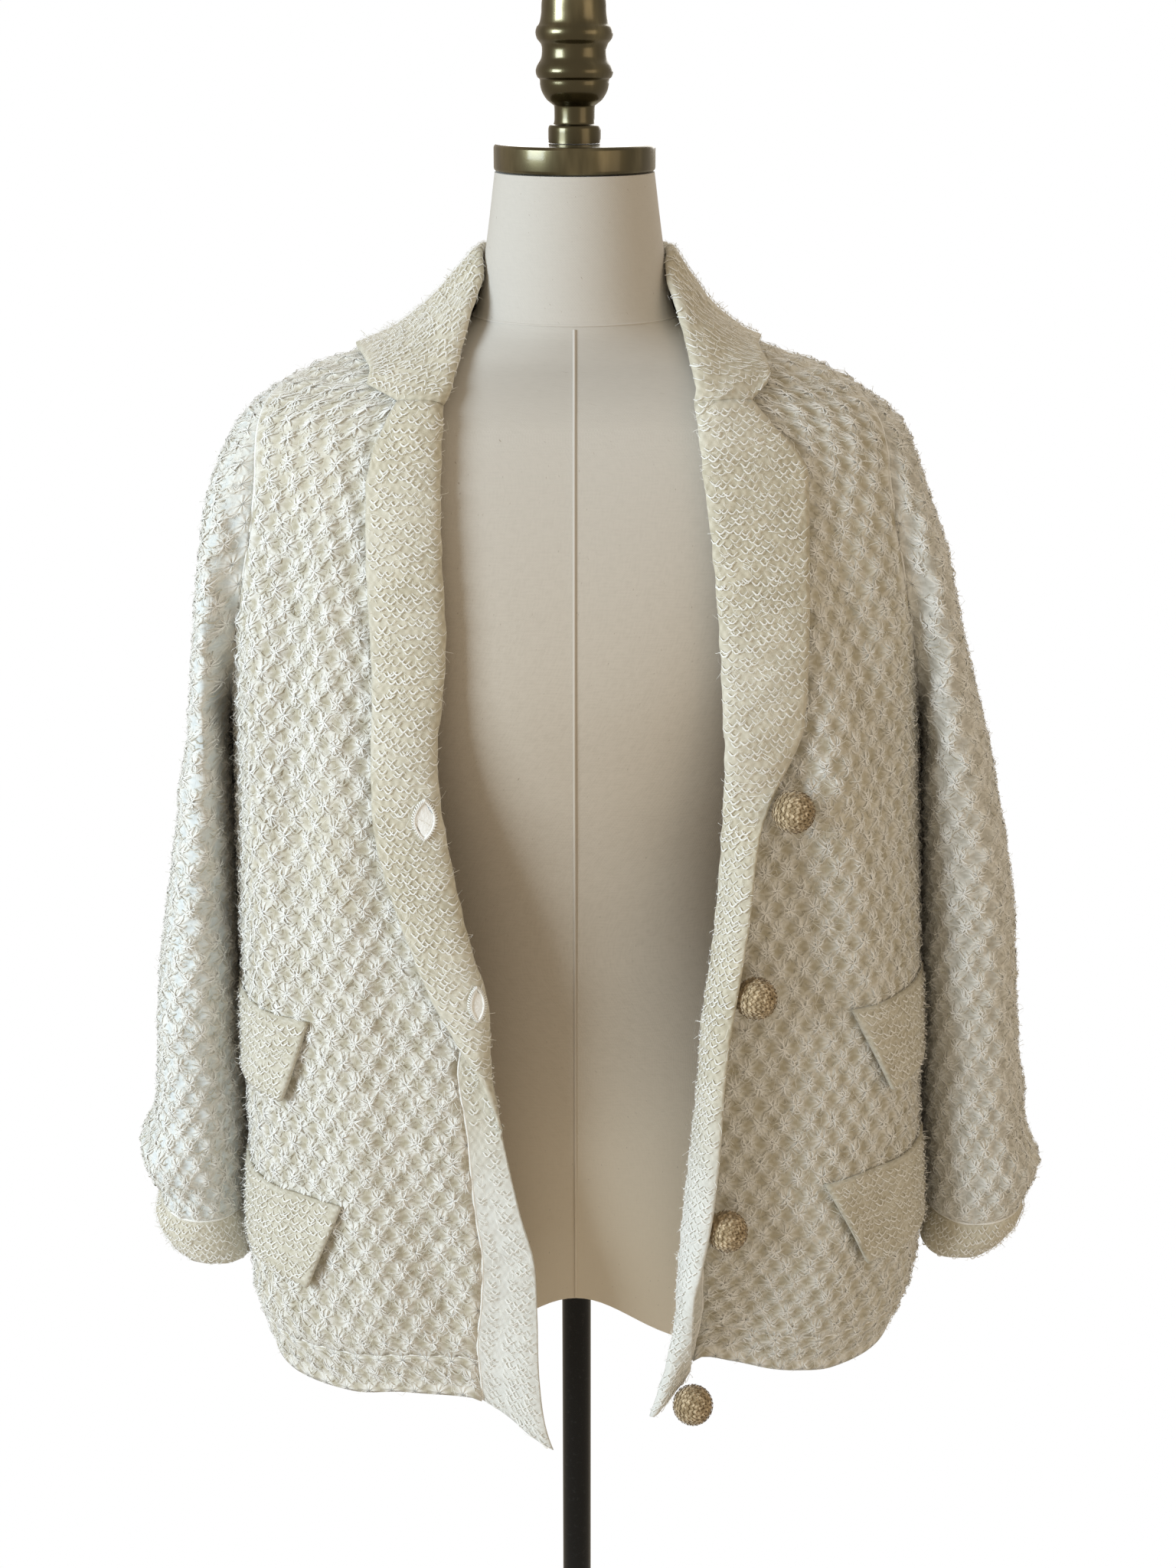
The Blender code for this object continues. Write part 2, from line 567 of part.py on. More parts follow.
def fold_over(attach, fold, free, facing, normal, roll, crown, hug, over_shares):
    """The middle of a strip of cloth that goes from its seam to a fold, and back over to its free edge."""
    turned = np.linalg.norm(free - fold)
    reach = np.linalg.norm(fold - attach)
    flat = fold - attach - normal[0] * np.dot(fold - attach, normal[0])
    shares = len(UNDER) + len(over_shares) - 1
    if turned < 0.0015:
        under = bezier(attach, attach + flat * 0.4, fold - flat * 0.3, fold, 15)
        return sampled(under, np.linspace(0, length(under)[-1], shares))
    tight = max(min(1.0, turned / 0.014), 0.45)
    under = bezier(attach, attach + flat * 0.4, fold - facing * min(0.004, 0.4 * reach) * tight, fold, 15)
    over = free - fold
    along = over - normal[1] * np.dot(over, normal[1])
    along = along / max(np.linalg.norm(along), 0.4 * turned)
    over_path = bezier(fold, fold + facing * roll * tight,
                       free - along * turned * hug + normal[1] * crown * tight, free, 21)
    path = np.concatenate([under, over_path[1:]])
    near, far = length(under)[-1], length(over_path)[-1]
    set_out = np.concatenate([np.array(UNDER) * near, near + np.array(over_shares[1:]) * far])
    evenly = np.linspace(0, near + far, shares)
    return sampled(path, evenly + (set_out - evenly) * step(0.001, 0.016, turned))


def cloth_normal(side, angle, height):
    """The body's outward normal."""
    return (cloth(side, angle, height, 0.001) - cloth(side, angle, height)) / 0.001


def band_row(side, height):
    """One level row of a front band, from its seam over the fold to the free edge."""
    front = FRONTS[side]
    fold_angle = angle_of(side, height, float(read(front, "fold", height)), "x")
    free_angle = angle_of(side, height, float(read(front, "free", height)), "x")
    start = seam_angle(side, min(height, GORGE)) + seam_turn(height, SEAM)
    off = float(read(front, "free_off", height))
    attach = cloth(side, start, height, -CLOTH / 2)
    fold = cloth(side, fold_angle, height, float(read(front, "fold_off", height)))
    free = cloth(side, free_angle, height, off)
    face = cloth_normal(side, fold_angle, height)
    crown = 0.006 * (1 - step(0.007, 0.016, off))
    return fold_over(attach, fold, free, face, (cloth_normal(side, start, height), face), 0.0075, crown, 0.35,
                     BAND_OVER)


def matched(normals, like):
    """The normals, each turned to the side that the other one is on."""
    return normals * np.where(np.sum(normals * like, axis=-1, keepdims=True) < 0, -1.0, 1.0)


def band_sheet(side):
    """A front band's middle points and normals, row by row up to the gorge."""
    heights = BAND_HEIGHTS[:-1] + [GORGE]
    middle = np.array([band_row(side, height) for height in heights])
    normals = grid_normals(middle)
    at_seam = np.array([cloth_normal(side, seam_angle(side, min(h, GORGE)), h) for h in heights])
    normals[:, 0] = matched(at_seam, normals[:, 0])
    return middle, normals


def band(side, finish):
    """A front band with its lapel."""
    middle, normals = band_sheet(side)
    middle[-1, :, 2] -= SEAM / 2
    name = "band_left" if side == LEFT else "band_right"
    return wall(name, middle + normals * CLOTH / 2, middle - normals * CLOTH / 2, finish)


def radial(side, angle, radius, height):
    """A point at an angle and radius round the neck."""
    turn = np.radians(angle)
    return np.array([side * radius * np.sin(turn), radius * np.cos(turn), height])


def collar_row(side, seam, seam_height):
    """One row of the collar, from the neck seam up over the roll and down to its outer edge."""
    attach = cloth(side, seam, seam_height, -CLOTH / 2)
    at_seam = cloth_normal(side, seam, seam_height)
    fold = radial(side, float(read(COLLAR, "roll_angle", seam)), float(read(COLLAR, "roll_radius", seam)),
                  float(read(COLLAR, "roll_height", seam)))
    flat = fold - attach - at_seam * np.dot(fold - attach, at_seam)
    attach = attach + flat / np.linalg.norm(flat) * SEAM
    word = "free_left" if side == LEFT else "free_right"
    free_angle, free_height = float(read(COLLAR, "free_angle", seam)), float(read(COLLAR, word, seam))
    free = cloth(side, free_angle, free_height, COLLAR_OFF)
    normal = cloth_normal(side, free_angle, free_height)
    facing = radial(side, float(read(COLLAR, "facing", seam)), 1.0, 0.0)
    return fold_over(attach, fold, free, facing, (at_seam, normal), 0.007, 0.0, 0.5, COLLAR_OVER)


def collar_end(side):
    """The collar's last row, which meets the lapel along the gorge and runs on to the collar's corner."""
    middle, normals = band_sheet(side)
    row = middle[-1].copy()
    row[:, 2] += SEAM / 2
    across, rise = COLLAR_CORNER[side]
    corner_angle = angle_of(side, GORGE + rise, across, "x")
    corner = cloth(side, corner_angle, GORGE + rise, COLLAR_OFF)
    normal = cloth_normal(side, corner_angle, GORGE + rise)
    half_way = row[-1] + (corner - row[-1]) * 0.5
    points = np.concatenate([row, [half_way, corner]])
    return points, np.concatenate([normals[-1], matched(np.array([normal, normal]), normals[-1, -1])])


def collar(finish):
    """The notched collar, from gorge to gorge round the back of the neck."""
    steps = [(a, NECK_HEIGHT) for a in np.linspace(0, float(read(NECKLINE, "angle", NECK_HEIGHT)), 7)]
    steps += [(float(read(NECKLINE, "angle", h)), h) for h in NECK_HEIGHTS[-2::-1] + [ARM_TOP]]
    rows, ends = {}, {}
    for side in (LEFT, RIGHT):
        end, ends[side] = collar_end(side)
        rows[side] = [collar_row(side, *at) for at in steps] + [end]
    middle = np.array(rows[RIGHT][::-1] + rows[LEFT][1:])
    normals = grid_normals(middle)
    seams = [(RIGHT, *at) for at in steps[::-1]] + [(LEFT, *at) for at in steps[1:]]
    at_seam = np.array([cloth_normal(*at) for at in seams])
    normals[1:-1, 0] = matched(at_seam, normals[1:-1, 0])
    normals[0] = matched(ends[RIGHT], normals[0])
    normals[-1] = matched(ends[LEFT], normals[-1])
    return wall("collar", middle + normals * CLOTH / 2, middle - normals * CLOTH / 2, finish)


def armhole_ring(side, shrink=SEAM):
    """The armhole's edge, just inside the hole: down the front from its top, and up the back."""
    ring = []
    for k in range(2 * ARM_STEPS):
        turn = np.pi * k / ARM_STEPS
        height = ARM_MIDDLE + (ARM_HALF - shrink) * np.cos(turn)
        deep = (ARM_DEEP - shrink) * np.sin(turn)
        front_angle = angle_of(side, height, abs(deep), "depth")
        if deep >= 0:
            ring.append(cloth(side, front_angle, height))
        else:
            angles = np.linspace(0, SIDE, 361)
            face = cloth_face(side, angles, np.full(angles.shape, height))
            ring.append(cloth(side, float(np.interp(deep, -face[:, 1], angles)), height))
    return np.array(ring)


def sleeve_ring(side, row):
    """A ring of the sleeve, in the same order as the armhole's edge."""
    tab = SLEEVES[side]
    outer = np.array([tab["outer"][row] * side, SLEEVE_BACK, tab["outer_height"][row]])
    inner = np.array([tab["inner"][row] * side, SLEEVE_BACK, tab["inner_height"][row]])
    middle, reach = (outer + inner) / 2, (outer - inner) / 2
    turn = np.pi * np.arange(2 * ARM_STEPS) / ARM_STEPS
    size = (np.abs(np.cos(turn)) ** SLEEVE_SQUARE + np.abs(np.sin(turn)) ** SLEEVE_SQUARE) ** (-1 / SLEEVE_SQUARE)
    out_way = (size * np.cos(turn))[:, None] * reach
    lean = CUFF_LEAN * step(CUFF_TOP, tab["outer_height"][-1], tab["outer_height"][row])
    deep_way = (size * np.sin(turn))[:, None] * np.array([-side * lean, -tab["half_deep"][row], 0])
    return middle + out_way + deep_way


def sleeve(side, star, plain):
    """A sleeve from the armhole to the cuff, and its cuff band."""
    rings = [armhole_ring(side)] + [sleeve_ring(side, row) for row in range(len(SLEEVES[side]["outer"]))]
    outer = np.array(rings)
    normals = grid_normals(outer, tube=True) * side
    inner = outer - normals * CLOTH
    word = "left" if side == LEFT else "right"
    wall(f"sleeve_{word}", outer[:SLEEVE_ROWS + 1], inner[:SLEEVE_ROWS + 1], star, tube=True)
    low_outer, low_inner = outer[SLEEVE_ROWS:].copy(), inner[SLEEVE_ROWS:].copy()
    low_outer[0, :, 2] -= CUFF_GAP
    low_inner[0, :, 2] -= CUFF_GAP
    wall(f"cuff_{word}", low_outer, low_inner, plain, tube=True)


def flap(name, finish):
    """A pocket flap, sewn along its top and standing a little off the front below."""
    side, top, high, front_top, front_low = FLAPS[name]
    outer, inner = [], []
    for down in np.linspace(0, 1, 4):
        height = top - high * down
        front = front_top + (front_low - front_top) * down
        angles = np.linspace(FLAP_END, front, 7)
        level = np.full(angles.shape, height)
        near_front = np.linspace(0, 1, 7) ** 2
        off = FLAP_CLEAR + FLAP_LIFT * down * (0.15 + 0.85 * near_front)
        inner.append(cloth(side, angles, level, off))
        outer.append(cloth(side, angles, level, off + CLOTH))
    return wall(name, np.array(outer), np.array(inner), finish)


def turned(name, profile, centre, sides, finish):
    """A turned solid from (radius, height) pairs, top to bottom, closed on the axis at both ends."""
    rings = [(r, z) for r, z in profile if r > 0]
    turns = np.linspace(0, 2 * np.pi, sides, endpoint=False)
    points = [(centre[0] + r * np.cos(t), centre[1] + r * np.sin(t), z) for r, z in rings for t in turns]
    faces = []
    for k in range(len(rings) - 1):
        for s in range(sides):
            n = (s + 1) % sides
            faces.append((k * sides + s, (k + 1) * sides + s, (k + 1) * sides + n, k * sides + n))
    faces.append(tuple(range(sides)))
    faces.append(tuple(reversed(range((len(rings) - 1) * sides, len(rings) * sides))))
    return add(name, points, faces, finish)


def rounded(radius, low, high, edge, steps=3):
    """A disc's profile with rounded edges, top to bottom."""
    turns = [np.pi / 2 * k / steps for k in range(steps + 1)]
    upper = [(radius - edge + edge * np.sin(t), high - edge + edge * np.cos(t)) for t in turns]
    lower = [(radius - edge + edge * np.cos(t), low + edge - edge * np.sin(t)) for t in turns]
    return upper + lower


def form_torso(cloths, finish):
    """The limbless form: smooth rings from the arched lower edge to the top of the neck."""
    angles = np.linspace(0, 180, FORM_SIDES // 2 + 1)
    rings = []
    for k, height in enumerate(FORM_HEIGHTS):
        halves = {}
        for side in (LEFT, RIGHT):
            halves[side] = form_face(side, angles, np.full(angles.shape, float(height)))
        ring = np.concatenate([halves[LEFT], halves[RIGHT][-2:0:-1]])
        if k == 0:
            ring[:, 2] = arch(ring[:, 0])
        elif k <= 2:
            low = arch(ring[:, 0])
            ring[:, 2] = low + (height - FORM_HEIGHTS[0]) / (FORM_HEIGHTS[3] - FORM_HEIGHTS[0]) * (
                FORM_HEIGHTS[3] - low)
        rings.append(seated(ring, cloths))
    sides = FORM_SIDES
    points = np.concatenate(rings)
    faces = []
    for k in range(len(rings) - 1):
        for s in range(sides):
            n = (s + 1) % sides
            faces.append((k * sides + s, k * sides + n, (k + 1) * sides + n, (k + 1) * sides + s))
    top = (len(rings) - 1) * sides
    faces.append(tuple(range(top, top + sides)))
    middle = sides // 2
    for s in range(middle // 2):
        across = middle - s
        near = [s, s + 1, across - 1, across]
        faces.append(tuple(dict.fromkeys(near)))
    for s in range(middle // 2):
        low, high = (sides - s) % sides, sides - s - 1
        near = [low, high, middle + s + 1, middle + s]
        faces.append(tuple(dict.fromkeys(near)))
    return add("form_torso", points, faces, finish)


def arch(x):
    """The height of the form's lower edge: highest at the middle, over the pole."""
    return LOBE_LOW + (ARCH_TOP - LOBE_LOW) * np.exp(-((x / ARCH_WIDE) ** 2))


def finial_profile(low):
    """The turned finial, top to bottom: a dome, two beads with a waist between, a bowl, a neck and a foot."""
    shape = [
        (0.006, 0.0900), (0.0125, 0.0885), (0.0165, 0.0860), (0.0185, 0.0825), (0.0192, 0.0790),
        (0.0195, 0.0730), (0.0205, 0.0680), (0.0222, 0.0655), (0.0229, 0.0625), (0.0220, 0.0590),
        (0.0197, 0.0560), (0.0191, 0.0527), (0.0197, 0.0480), (0.0220, 0.0440), (0.0229, 0.0407),
        (0.0220, 0.0375), (0.0205, 0.0360), (0.0203, 0.0330), (0.0192, 0.0290), (0.0165, 0.0247),
        (0.0132, 0.0220), (0.0120, 0.0205), (0.0119, 0.0150), (0.0124, 0.0110), (0.0148, 0.0100),
        (0.0156, 0.0070), (0.0156, 0.0000),
    ]
    return [(radius, low + z) for radius, z in shape]


def button(number, row, carrier, finish):
    """A crochet-covered ball button, just touching the band that it is sewn to."""
    centre = np.array([BUTTONS["across"][row], -BUTTONS["forward"][row], BUTTONS["height"][row]])
    tree = BVHTree.FromPolygons([v.co for v in carrier.data.vertices],
                                [tuple(p.vertices) for p in carrier.data.polygons])
    for _ in range(30):
        near, _, _, reach = tree.find_nearest(Vector(centre))
        way = (centre - np.array(near)) / reach
        centre = centre + way * (BUTTON_RADIUS + REST_GAP - reach)
    face = np.array([np.cos(np.radians(35)), -np.sin(np.radians(35)), 0])
    side_way = np.array([np.sin(np.radians(35)), np.cos(np.radians(35)), 0])
    up = np.array([0, 0, 1.0])
    around, points, faces = 12, [], []
    levels = [-78, -52, -26, 0, 26, 52, 78]
    for level in levels:
        lean = np.radians(level)
        for s in range(around):
            turn = 2 * np.pi * s / around
            rim = np.cos(lean) * (side_way * np.cos(turn) + up * np.sin(turn))
            points.append(centre + BUTTON_RADIUS * (rim + face * np.sin(lean)))
    for k in range(len(levels) - 1):
        for s in range(around):
            n = (s + 1) % around
            faces.append((k * around + s, k * around + n, (k + 1) * around + n, (k + 1) * around + s))
    faces.append(tuple(reversed(range(around))))
    faces.append(tuple(range((len(levels) - 1) * around, len(levels) * around)))
    return add(f"button_{number}", points, faces, finish)


def build():
    for old in list(bpy.data.objects):
        bpy.data.objects.remove(old, do_unlink=True)
    star = material("star_knit", (0.80, 0.75, 0.63), 0.95)
    plain = material("plain_knit", (0.84, 0.80, 0.70), 0.95)
    flap_knit = material("garter_knit", (0.82, 0.76, 0.62), 0.95)
    crochet = material("crochet", (0.78, 0.68, 0.52), 0.9)
    linen = material("linen", (0.61, 0.54, 0.45), 0.9)
    bronze = material("olive_bronze", (0.16, 0.14, 0.08), 0.25, 1.0)
    black = material("gloss_black", (0.01, 0.01, 0.01), 0.2)

    turned("form_neck_cap", rounded(CAP_RADIUS, NECK_TOP, NECK_TOP + CAP_HIGH, 0.0025), (0, 0), 32, bronze)
    turned("form_finial", finial_profile(NECK_TOP + CAP_HIGH + REST_GAP), (0, 0), 24, bronze)
    pole = [(POLE_RADIUS, ARCH_TOP - 0.0032), (POLE_RADIUS, BASE_HIGH + REST_GAP)]
    turned("stand_pole", pole, (0, 0), 20, black)
    turned("stand_base", rounded(BASE_RADIUS, 0.0, BASE_HIGH, 0.008), (0, 0), 32, black)

    hem_rows = [HEM_EDGE, (HEM_EDGE + HEM_TOP) / 2, HEM_TOP]
    back_panel("back", PANEL_HEIGHTS, star)
    back_panel("hem_back", hem_rows, plain)
    for side, word in ((LEFT, "left"), (RIGHT, "right")):
        front_panel(side, star)
        body_panel(f"hem_{word}", side, hem_rows, lambda h, s=side: armhole_angle(s, h),
                   lambda h, s=side: seam_angle(s, h), FRONT_STEPS, plain)
        band(side, plain)
        sleeve(side, star, plain)
    collar(plain)
    resting = ["back", "collar"]
    resting += [f"{piece}_{word}" for piece in ("front", "band", "sleeve") for word in ("left", "right")]
    form_torso([bpy.data.objects[name] for name in resting], linen)
    for name in FLAPS:
        flap(name, flap_knit)
    for row in range(len(BUTTONS["height"])):
        button(row + 1, row, bpy.data.objects["band_left"], crochet)


build()
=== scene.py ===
"""Dresses a hand-knitted cardigan and the dress form that carries it.

Every knitted piece is a thin shell laid on the garment's own sections, with its stitches as yarn on top of it.
The form is covered in linen, and its cap, finial, pole and base are turned. Metres, +Z up, the front faces -Y.
"""

import json
from contextlib import contextmanager

import bmesh
import bpy
import numpy as np
from bpy.props import FloatProperty, FloatVectorProperty, IntProperty, PointerProperty
from bpy.types import Operator, Panel, PropertyGroup
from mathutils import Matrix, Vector


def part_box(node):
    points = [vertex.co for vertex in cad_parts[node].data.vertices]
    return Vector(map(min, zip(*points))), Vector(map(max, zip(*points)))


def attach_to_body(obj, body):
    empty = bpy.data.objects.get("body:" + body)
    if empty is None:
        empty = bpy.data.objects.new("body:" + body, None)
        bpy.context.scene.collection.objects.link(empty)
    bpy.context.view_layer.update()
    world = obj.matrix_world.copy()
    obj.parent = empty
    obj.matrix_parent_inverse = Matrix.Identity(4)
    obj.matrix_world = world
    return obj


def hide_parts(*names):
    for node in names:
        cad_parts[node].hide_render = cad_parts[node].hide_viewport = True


bl_info = {
    "name": "Knitted Cardigan Finish",
    "version": (1, 0, 0),
    "blender": (4, 5, 0),
    "location": "View3D > Sidebar > Cardigan",
    "description": "Knitted cloth, yarn, linen and lacquer for a cardigan on a dress form",
    "category": "Object",
}

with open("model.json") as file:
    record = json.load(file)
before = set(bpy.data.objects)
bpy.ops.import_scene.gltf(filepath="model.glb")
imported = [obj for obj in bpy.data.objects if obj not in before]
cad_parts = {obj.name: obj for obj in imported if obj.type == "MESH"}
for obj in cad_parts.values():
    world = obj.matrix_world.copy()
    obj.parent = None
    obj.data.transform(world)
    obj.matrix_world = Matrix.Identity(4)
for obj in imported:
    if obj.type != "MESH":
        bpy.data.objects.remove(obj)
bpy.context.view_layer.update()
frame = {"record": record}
BODY_NAME = "root"

LEFT = 1
RIGHT = -1
SIDES = ((LEFT, "left"), (RIGHT, "right"))
WORDS = dict(SIDES)
CLOTH = 0.0025
SEAM = 0.0004
FLAP_CLEAR = 0.0008
HEM_TOP = 0.728
HEM_EDGE = 0.700
DROP_FADE = 0.110
ARM_LOW = 1.130
ARM_TOP = 1.335
ARM_DEEP = 0.060
ARM_MIDDLE = (ARM_TOP + ARM_LOW) / 2
ARM_HALF = (ARM_TOP - ARM_LOW) / 2
NECK_HEIGHT = 1.376
GORGE_TOP = 1.3303
SIDE = 90.0
ANGLE_MARKS = 361
CUFF_GAP = 0.0006
CAP_RADIUS = 0.04825
CAP_HIGH = 0.016
NECK_TOP = 1.4585
REST_GAP = 0.0004
POLE_RADIUS = 0.010
ARCH_TOP = 0.745
LOBE_LOW = 0.704
ARCH_WIDE = 0.055
BASE_RADIUS = 0.160
BASE_HIGH = 0.024
BUTTON_RADIUS = 0.0131
SLEEVE_ROWS = 15
SLEEVE_BACK = 0.004
CUFF_LEAN = 0.012
CUFF_TOP = 0.782
SLEEVE_SQUARE = 2.3
FLAP_END = 98.0
FLAP_LIFT = 0.0050
COLLAR_OFF = 0.0045

STAR_WIDE = 0.0158
STAR_HIGH = 0.0128
STAR_PUFF = 0.0026
CHAIN_DEEP = 0.0036
STAR_SPOKES = (-162, -138, -110, -64, -34, -10, 14, 38, 68, 112, 140, 166)
YARN = 0.00092
SPOKE_SHARES = np.array([[0.04, 0.36, 0.70, 1.0]])
SPOKE_TAPER = np.array([[0.9, 1.05, 0.9, 0.55]])
LOOP_SHARES = np.array([[0.0, 0.27, 0.73, 1.0]])
LOOP_TAPER = np.array([[0.7, 1.05, 1.05, 0.7]])
HAIR_SHARES = (0.0, 0.5, 1.0)
HAIR_WIDE = (0.00030, 0.00024, 0.00006)
SEAM_CORD = 0.0009
SEAM_SUNK = 0.0006
PLAIN_WIDE = 0.0052
PLAIN_HIGH = 0.0043
PLAIN_DEEP = 0.0026
GARTER_WIDE = 0.0062
GARTER_HIGH = 0.0046
GARTER_DEEP = 0.0027
LINEN_PITCH = 0.0009

CAMERA_DISTANCE = 1.45
CAMERA_ASIDE = 0.008
CAMERA_HEIGHT = 1.55
CAMERA_PITCH = 18.2
CAMERA_LENS = 54.07
CAMERA_SENSOR = 36.0


def table(names, rows):
    """A small table as named columns."""
    values = np.array(rows, dtype=float)
    return {name: values[:, k] for k, name in enumerate(names.split())}


BODY = table("height half_right half_left front back square_right square_left square_back", (
    (0.690, 0.2020, 0.2090, 0.123, 0.124, 3.1, 2.5, 3.0),
    (0.705, 0.2080, 0.2180, 0.124, 0.125, 3.1, 2.5, 3.0),
    (0.722, 0.2145, 0.2250, 0.126, 0.126, 3.1, 2.6, 3.0),
    (0.745, 0.2185, 0.2300, 0.127, 0.127, 3.2, 2.7, 3.0),
    (0.780, 0.2185, 0.2320, 0.129, 0.128, 3.2, 2.9, 3.0),
    (0.850, 0.2170, 0.2285, 0.130, 0.127, 3.1, 3.0, 3.0),
    (0.950, 0.2170, 0.2245, 0.128, 0.121, 3.0, 3.0, 2.9),
    (1.050, 0.2160, 0.2195, 0.127, 0.115, 2.9, 2.9, 2.9),
    (1.130, 0.2140, 0.2150, 0.125, 0.112, 3.0, 3.0, 3.0),
    (1.200, 0.2125, 0.2120, 0.115, 0.108, 3.1, 3.1, 3.1),
    (1.240, 0.2100, 0.2090, 0.107, 0.104, 3.0, 3.0, 3.0),
    (1.280, 0.2065, 0.2040, 0.096, 0.098, 2.8, 2.8, 2.8),
    (1.300, 0.2035, 0.1995, 0.090, 0.094, 2.7, 2.7, 2.7),
    (1.316, 0.1985, 0.1915, 0.085, 0.089, 2.5, 2.5, 2.5),
    (1.328, 0.1880, 0.1780, 0.080, 0.085, 2.4, 2.4, 2.4),
    (1.336, 0.1740, 0.1650, 0.077, 0.082, 2.3, 2.3, 2.3),
    (1.345, 0.1525, 0.1450, 0.073, 0.078, 2.2, 2.2, 2.2),
    (1.352, 0.1300, 0.1240, 0.070, 0.0745, 2.1, 2.1, 2.1),
    (1.358, 0.1080, 0.1060, 0.068, 0.0720, 2.1, 2.1, 2.1),
    (1.366, 0.0915, 0.0905, 0.066, 0.0690, 2.0, 2.0, 2.0),
    (1.378, 0.0745, 0.0745, 0.064, 0.0660, 2.0, 2.0, 2.0),
))

FORM = table("height half front back square", (
    (0.700, 0.160, 0.080, 0.100, 2.3),
    (0.745, 0.166, 0.086, 0.106, 2.3),
    (0.800, 0.170, 0.092, 0.112, 2.3),
    (0.860, 0.168, 0.091, 0.110, 2.3),
    (0.930, 0.145, 0.084, 0.088, 2.2),
    (0.985, 0.130, 0.081, 0.077, 2.2),
    (1.040, 0.135, 0.090, 0.080, 2.2),
    (1.100, 0.147, 0.106, 0.088, 2.3),
    (1.160, 0.158, 0.115, 0.095, 2.4),
    (1.210, 0.168, 0.108, 0.098, 2.6),
    (1.260, 0.178, 0.096, 0.096, 2.7),
    (1.300, 0.1870, 0.0845, 0.0890, 2.65),
    (1.316, 0.1855, 0.0790, 0.0822, 2.5),
    (1.328, 0.1720, 0.0740, 0.0778, 2.4),
    (1.336, 0.1570, 0.0710, 0.0742, 2.3),
    (1.345, 0.1330, 0.0675, 0.0700, 2.2),
    (1.352, 0.1110, 0.0652, 0.0665, 2.1),
    (1.360, 0.0910, 0.0635, 0.0632, 2.0),
    (1.367, 0.0735, 0.0620, 0.0605, 2.0),
    (1.374, 0.0625, 0.0605, 0.0585, 2.0),
    (1.380, 0.0595, 0.0585, 0.058, 2.0),
    (1.415, 0.0535, 0.0535, 0.0535, 2.0),
    (1.458, 0.0478, 0.0478, 0.0478, 2.0),
))

NECKLINE = table("height angle", (
    (1.3302, 133.0),
    (1.345, 126.0),
    (1.352, 121.5),
    (1.358, 117.0),
    (1.366, 109.0),
    (1.376, 92.0),
))

COLLAR = table("seam roll_angle roll_radius roll_height free_angle free_right free_left facing", (
    (0, 0, 0.0620, 1.4130, 0, 1.3450, 1.3450, 0),
    (35, 35, 0.0605, 1.4135, 30, 1.3450, 1.3460, 35),
    (70, 70, 0.0580, 1.4140, 62, 1.3490, 1.3510, 72),
    (92, 92, 0.0570, 1.4125, 90, 1.3515, 1.3560, 98),
    (109, 112, 0.0605, 1.3990, 102, 1.3505, 1.3550, 121),
    (117, 122, 0.0725, 1.3830, 108, 1.3480, 1.3515, 137),
    (121.5, 127, 0.0815, 1.3700, 111, 1.3460, 1.3480, 148),
    (126, 131, 0.0905, 1.3565, 113, 1.3440, 1.3455, 157),
    (131, 135.5, 0.1035, 1.3400, 114.5, 1.3415, 1.3430, 166),
))

# A front's edge: how far across its fold is and how far that stands off the body, the same for the free edge
# of the part that is turned back, and the width from the fold to the seam with the front.
FRONT_RIGHT = table("height fold fold_off free free_off flat", (
    (0.690, 0.0105, 0.018, 0.0105, 0.018, 0.050),
    (0.715, 0.0195, 0.011, 0.0195, 0.011, 0.042),
    (0.740, 0.0233, 0.007, 0.0233, 0.007, 0.040),
    (0.770, 0.0242, 0.004, 0.0242, 0.004, 0.036),
    (0.800, 0.0262, 0.003, 0.0262, 0.003, 0.033),
    (0.830, 0.0340, 0.002, 0.0340, 0.002, 0.029),
    (0.870, 0.0422, 0.002, 0.0422, 0.002, 0.024),
    (0.888, 0.0455, 0.002, 0.0455, 0.003, 0.022),
    (0.905, 0.0485, 0.002, 0.0487, 0.007, 0.0215),
    (0.925, 0.0515, 0.003, 0.0565, 0.008, 0.021),
    (0.942, 0.0525, 0.003, 0.0665, 0.007, 0.018),
    (0.960, 0.0527, 0.003, 0.0770, 0.006, 0.012),
    (0.980, 0.0545, 0.003, 0.0870, 0.006, 0.007),
    (1.005, 0.0620, 0.003, 0.0965, 0.006, 0.006),
    (1.040, 0.0700, 0.003, 0.1085, 0.006, 0.006),
    (1.070, 0.0755, 0.003, 0.1160, 0.006, 0.006),
    (1.100, 0.0800, 0.003, 0.1188, 0.006, 0.006),
    (1.132, 0.0818, 0.003, 0.1185, 0.006, 0.006),
    (1.168, 0.0780, 0.003, 0.1173, 0.006, 0.006),
    (1.200, 0.0760, 0.003, 0.1180, 0.006, 0.006),
    (1.245, 0.0780, 0.003, 0.1200, 0.006, 0.006),
    (1.280, 0.0787, 0.003, 0.1200, 0.006, 0.006),
    (1.305, 0.0780, 0.003, 0.1150, 0.006, 0.006),
    (1.322, 0.0773, 0.003, 0.1065, 0.006, 0.006),
    (1.331, 0.0768, 0.003, 0.1010, 0.006, 0.006),
))

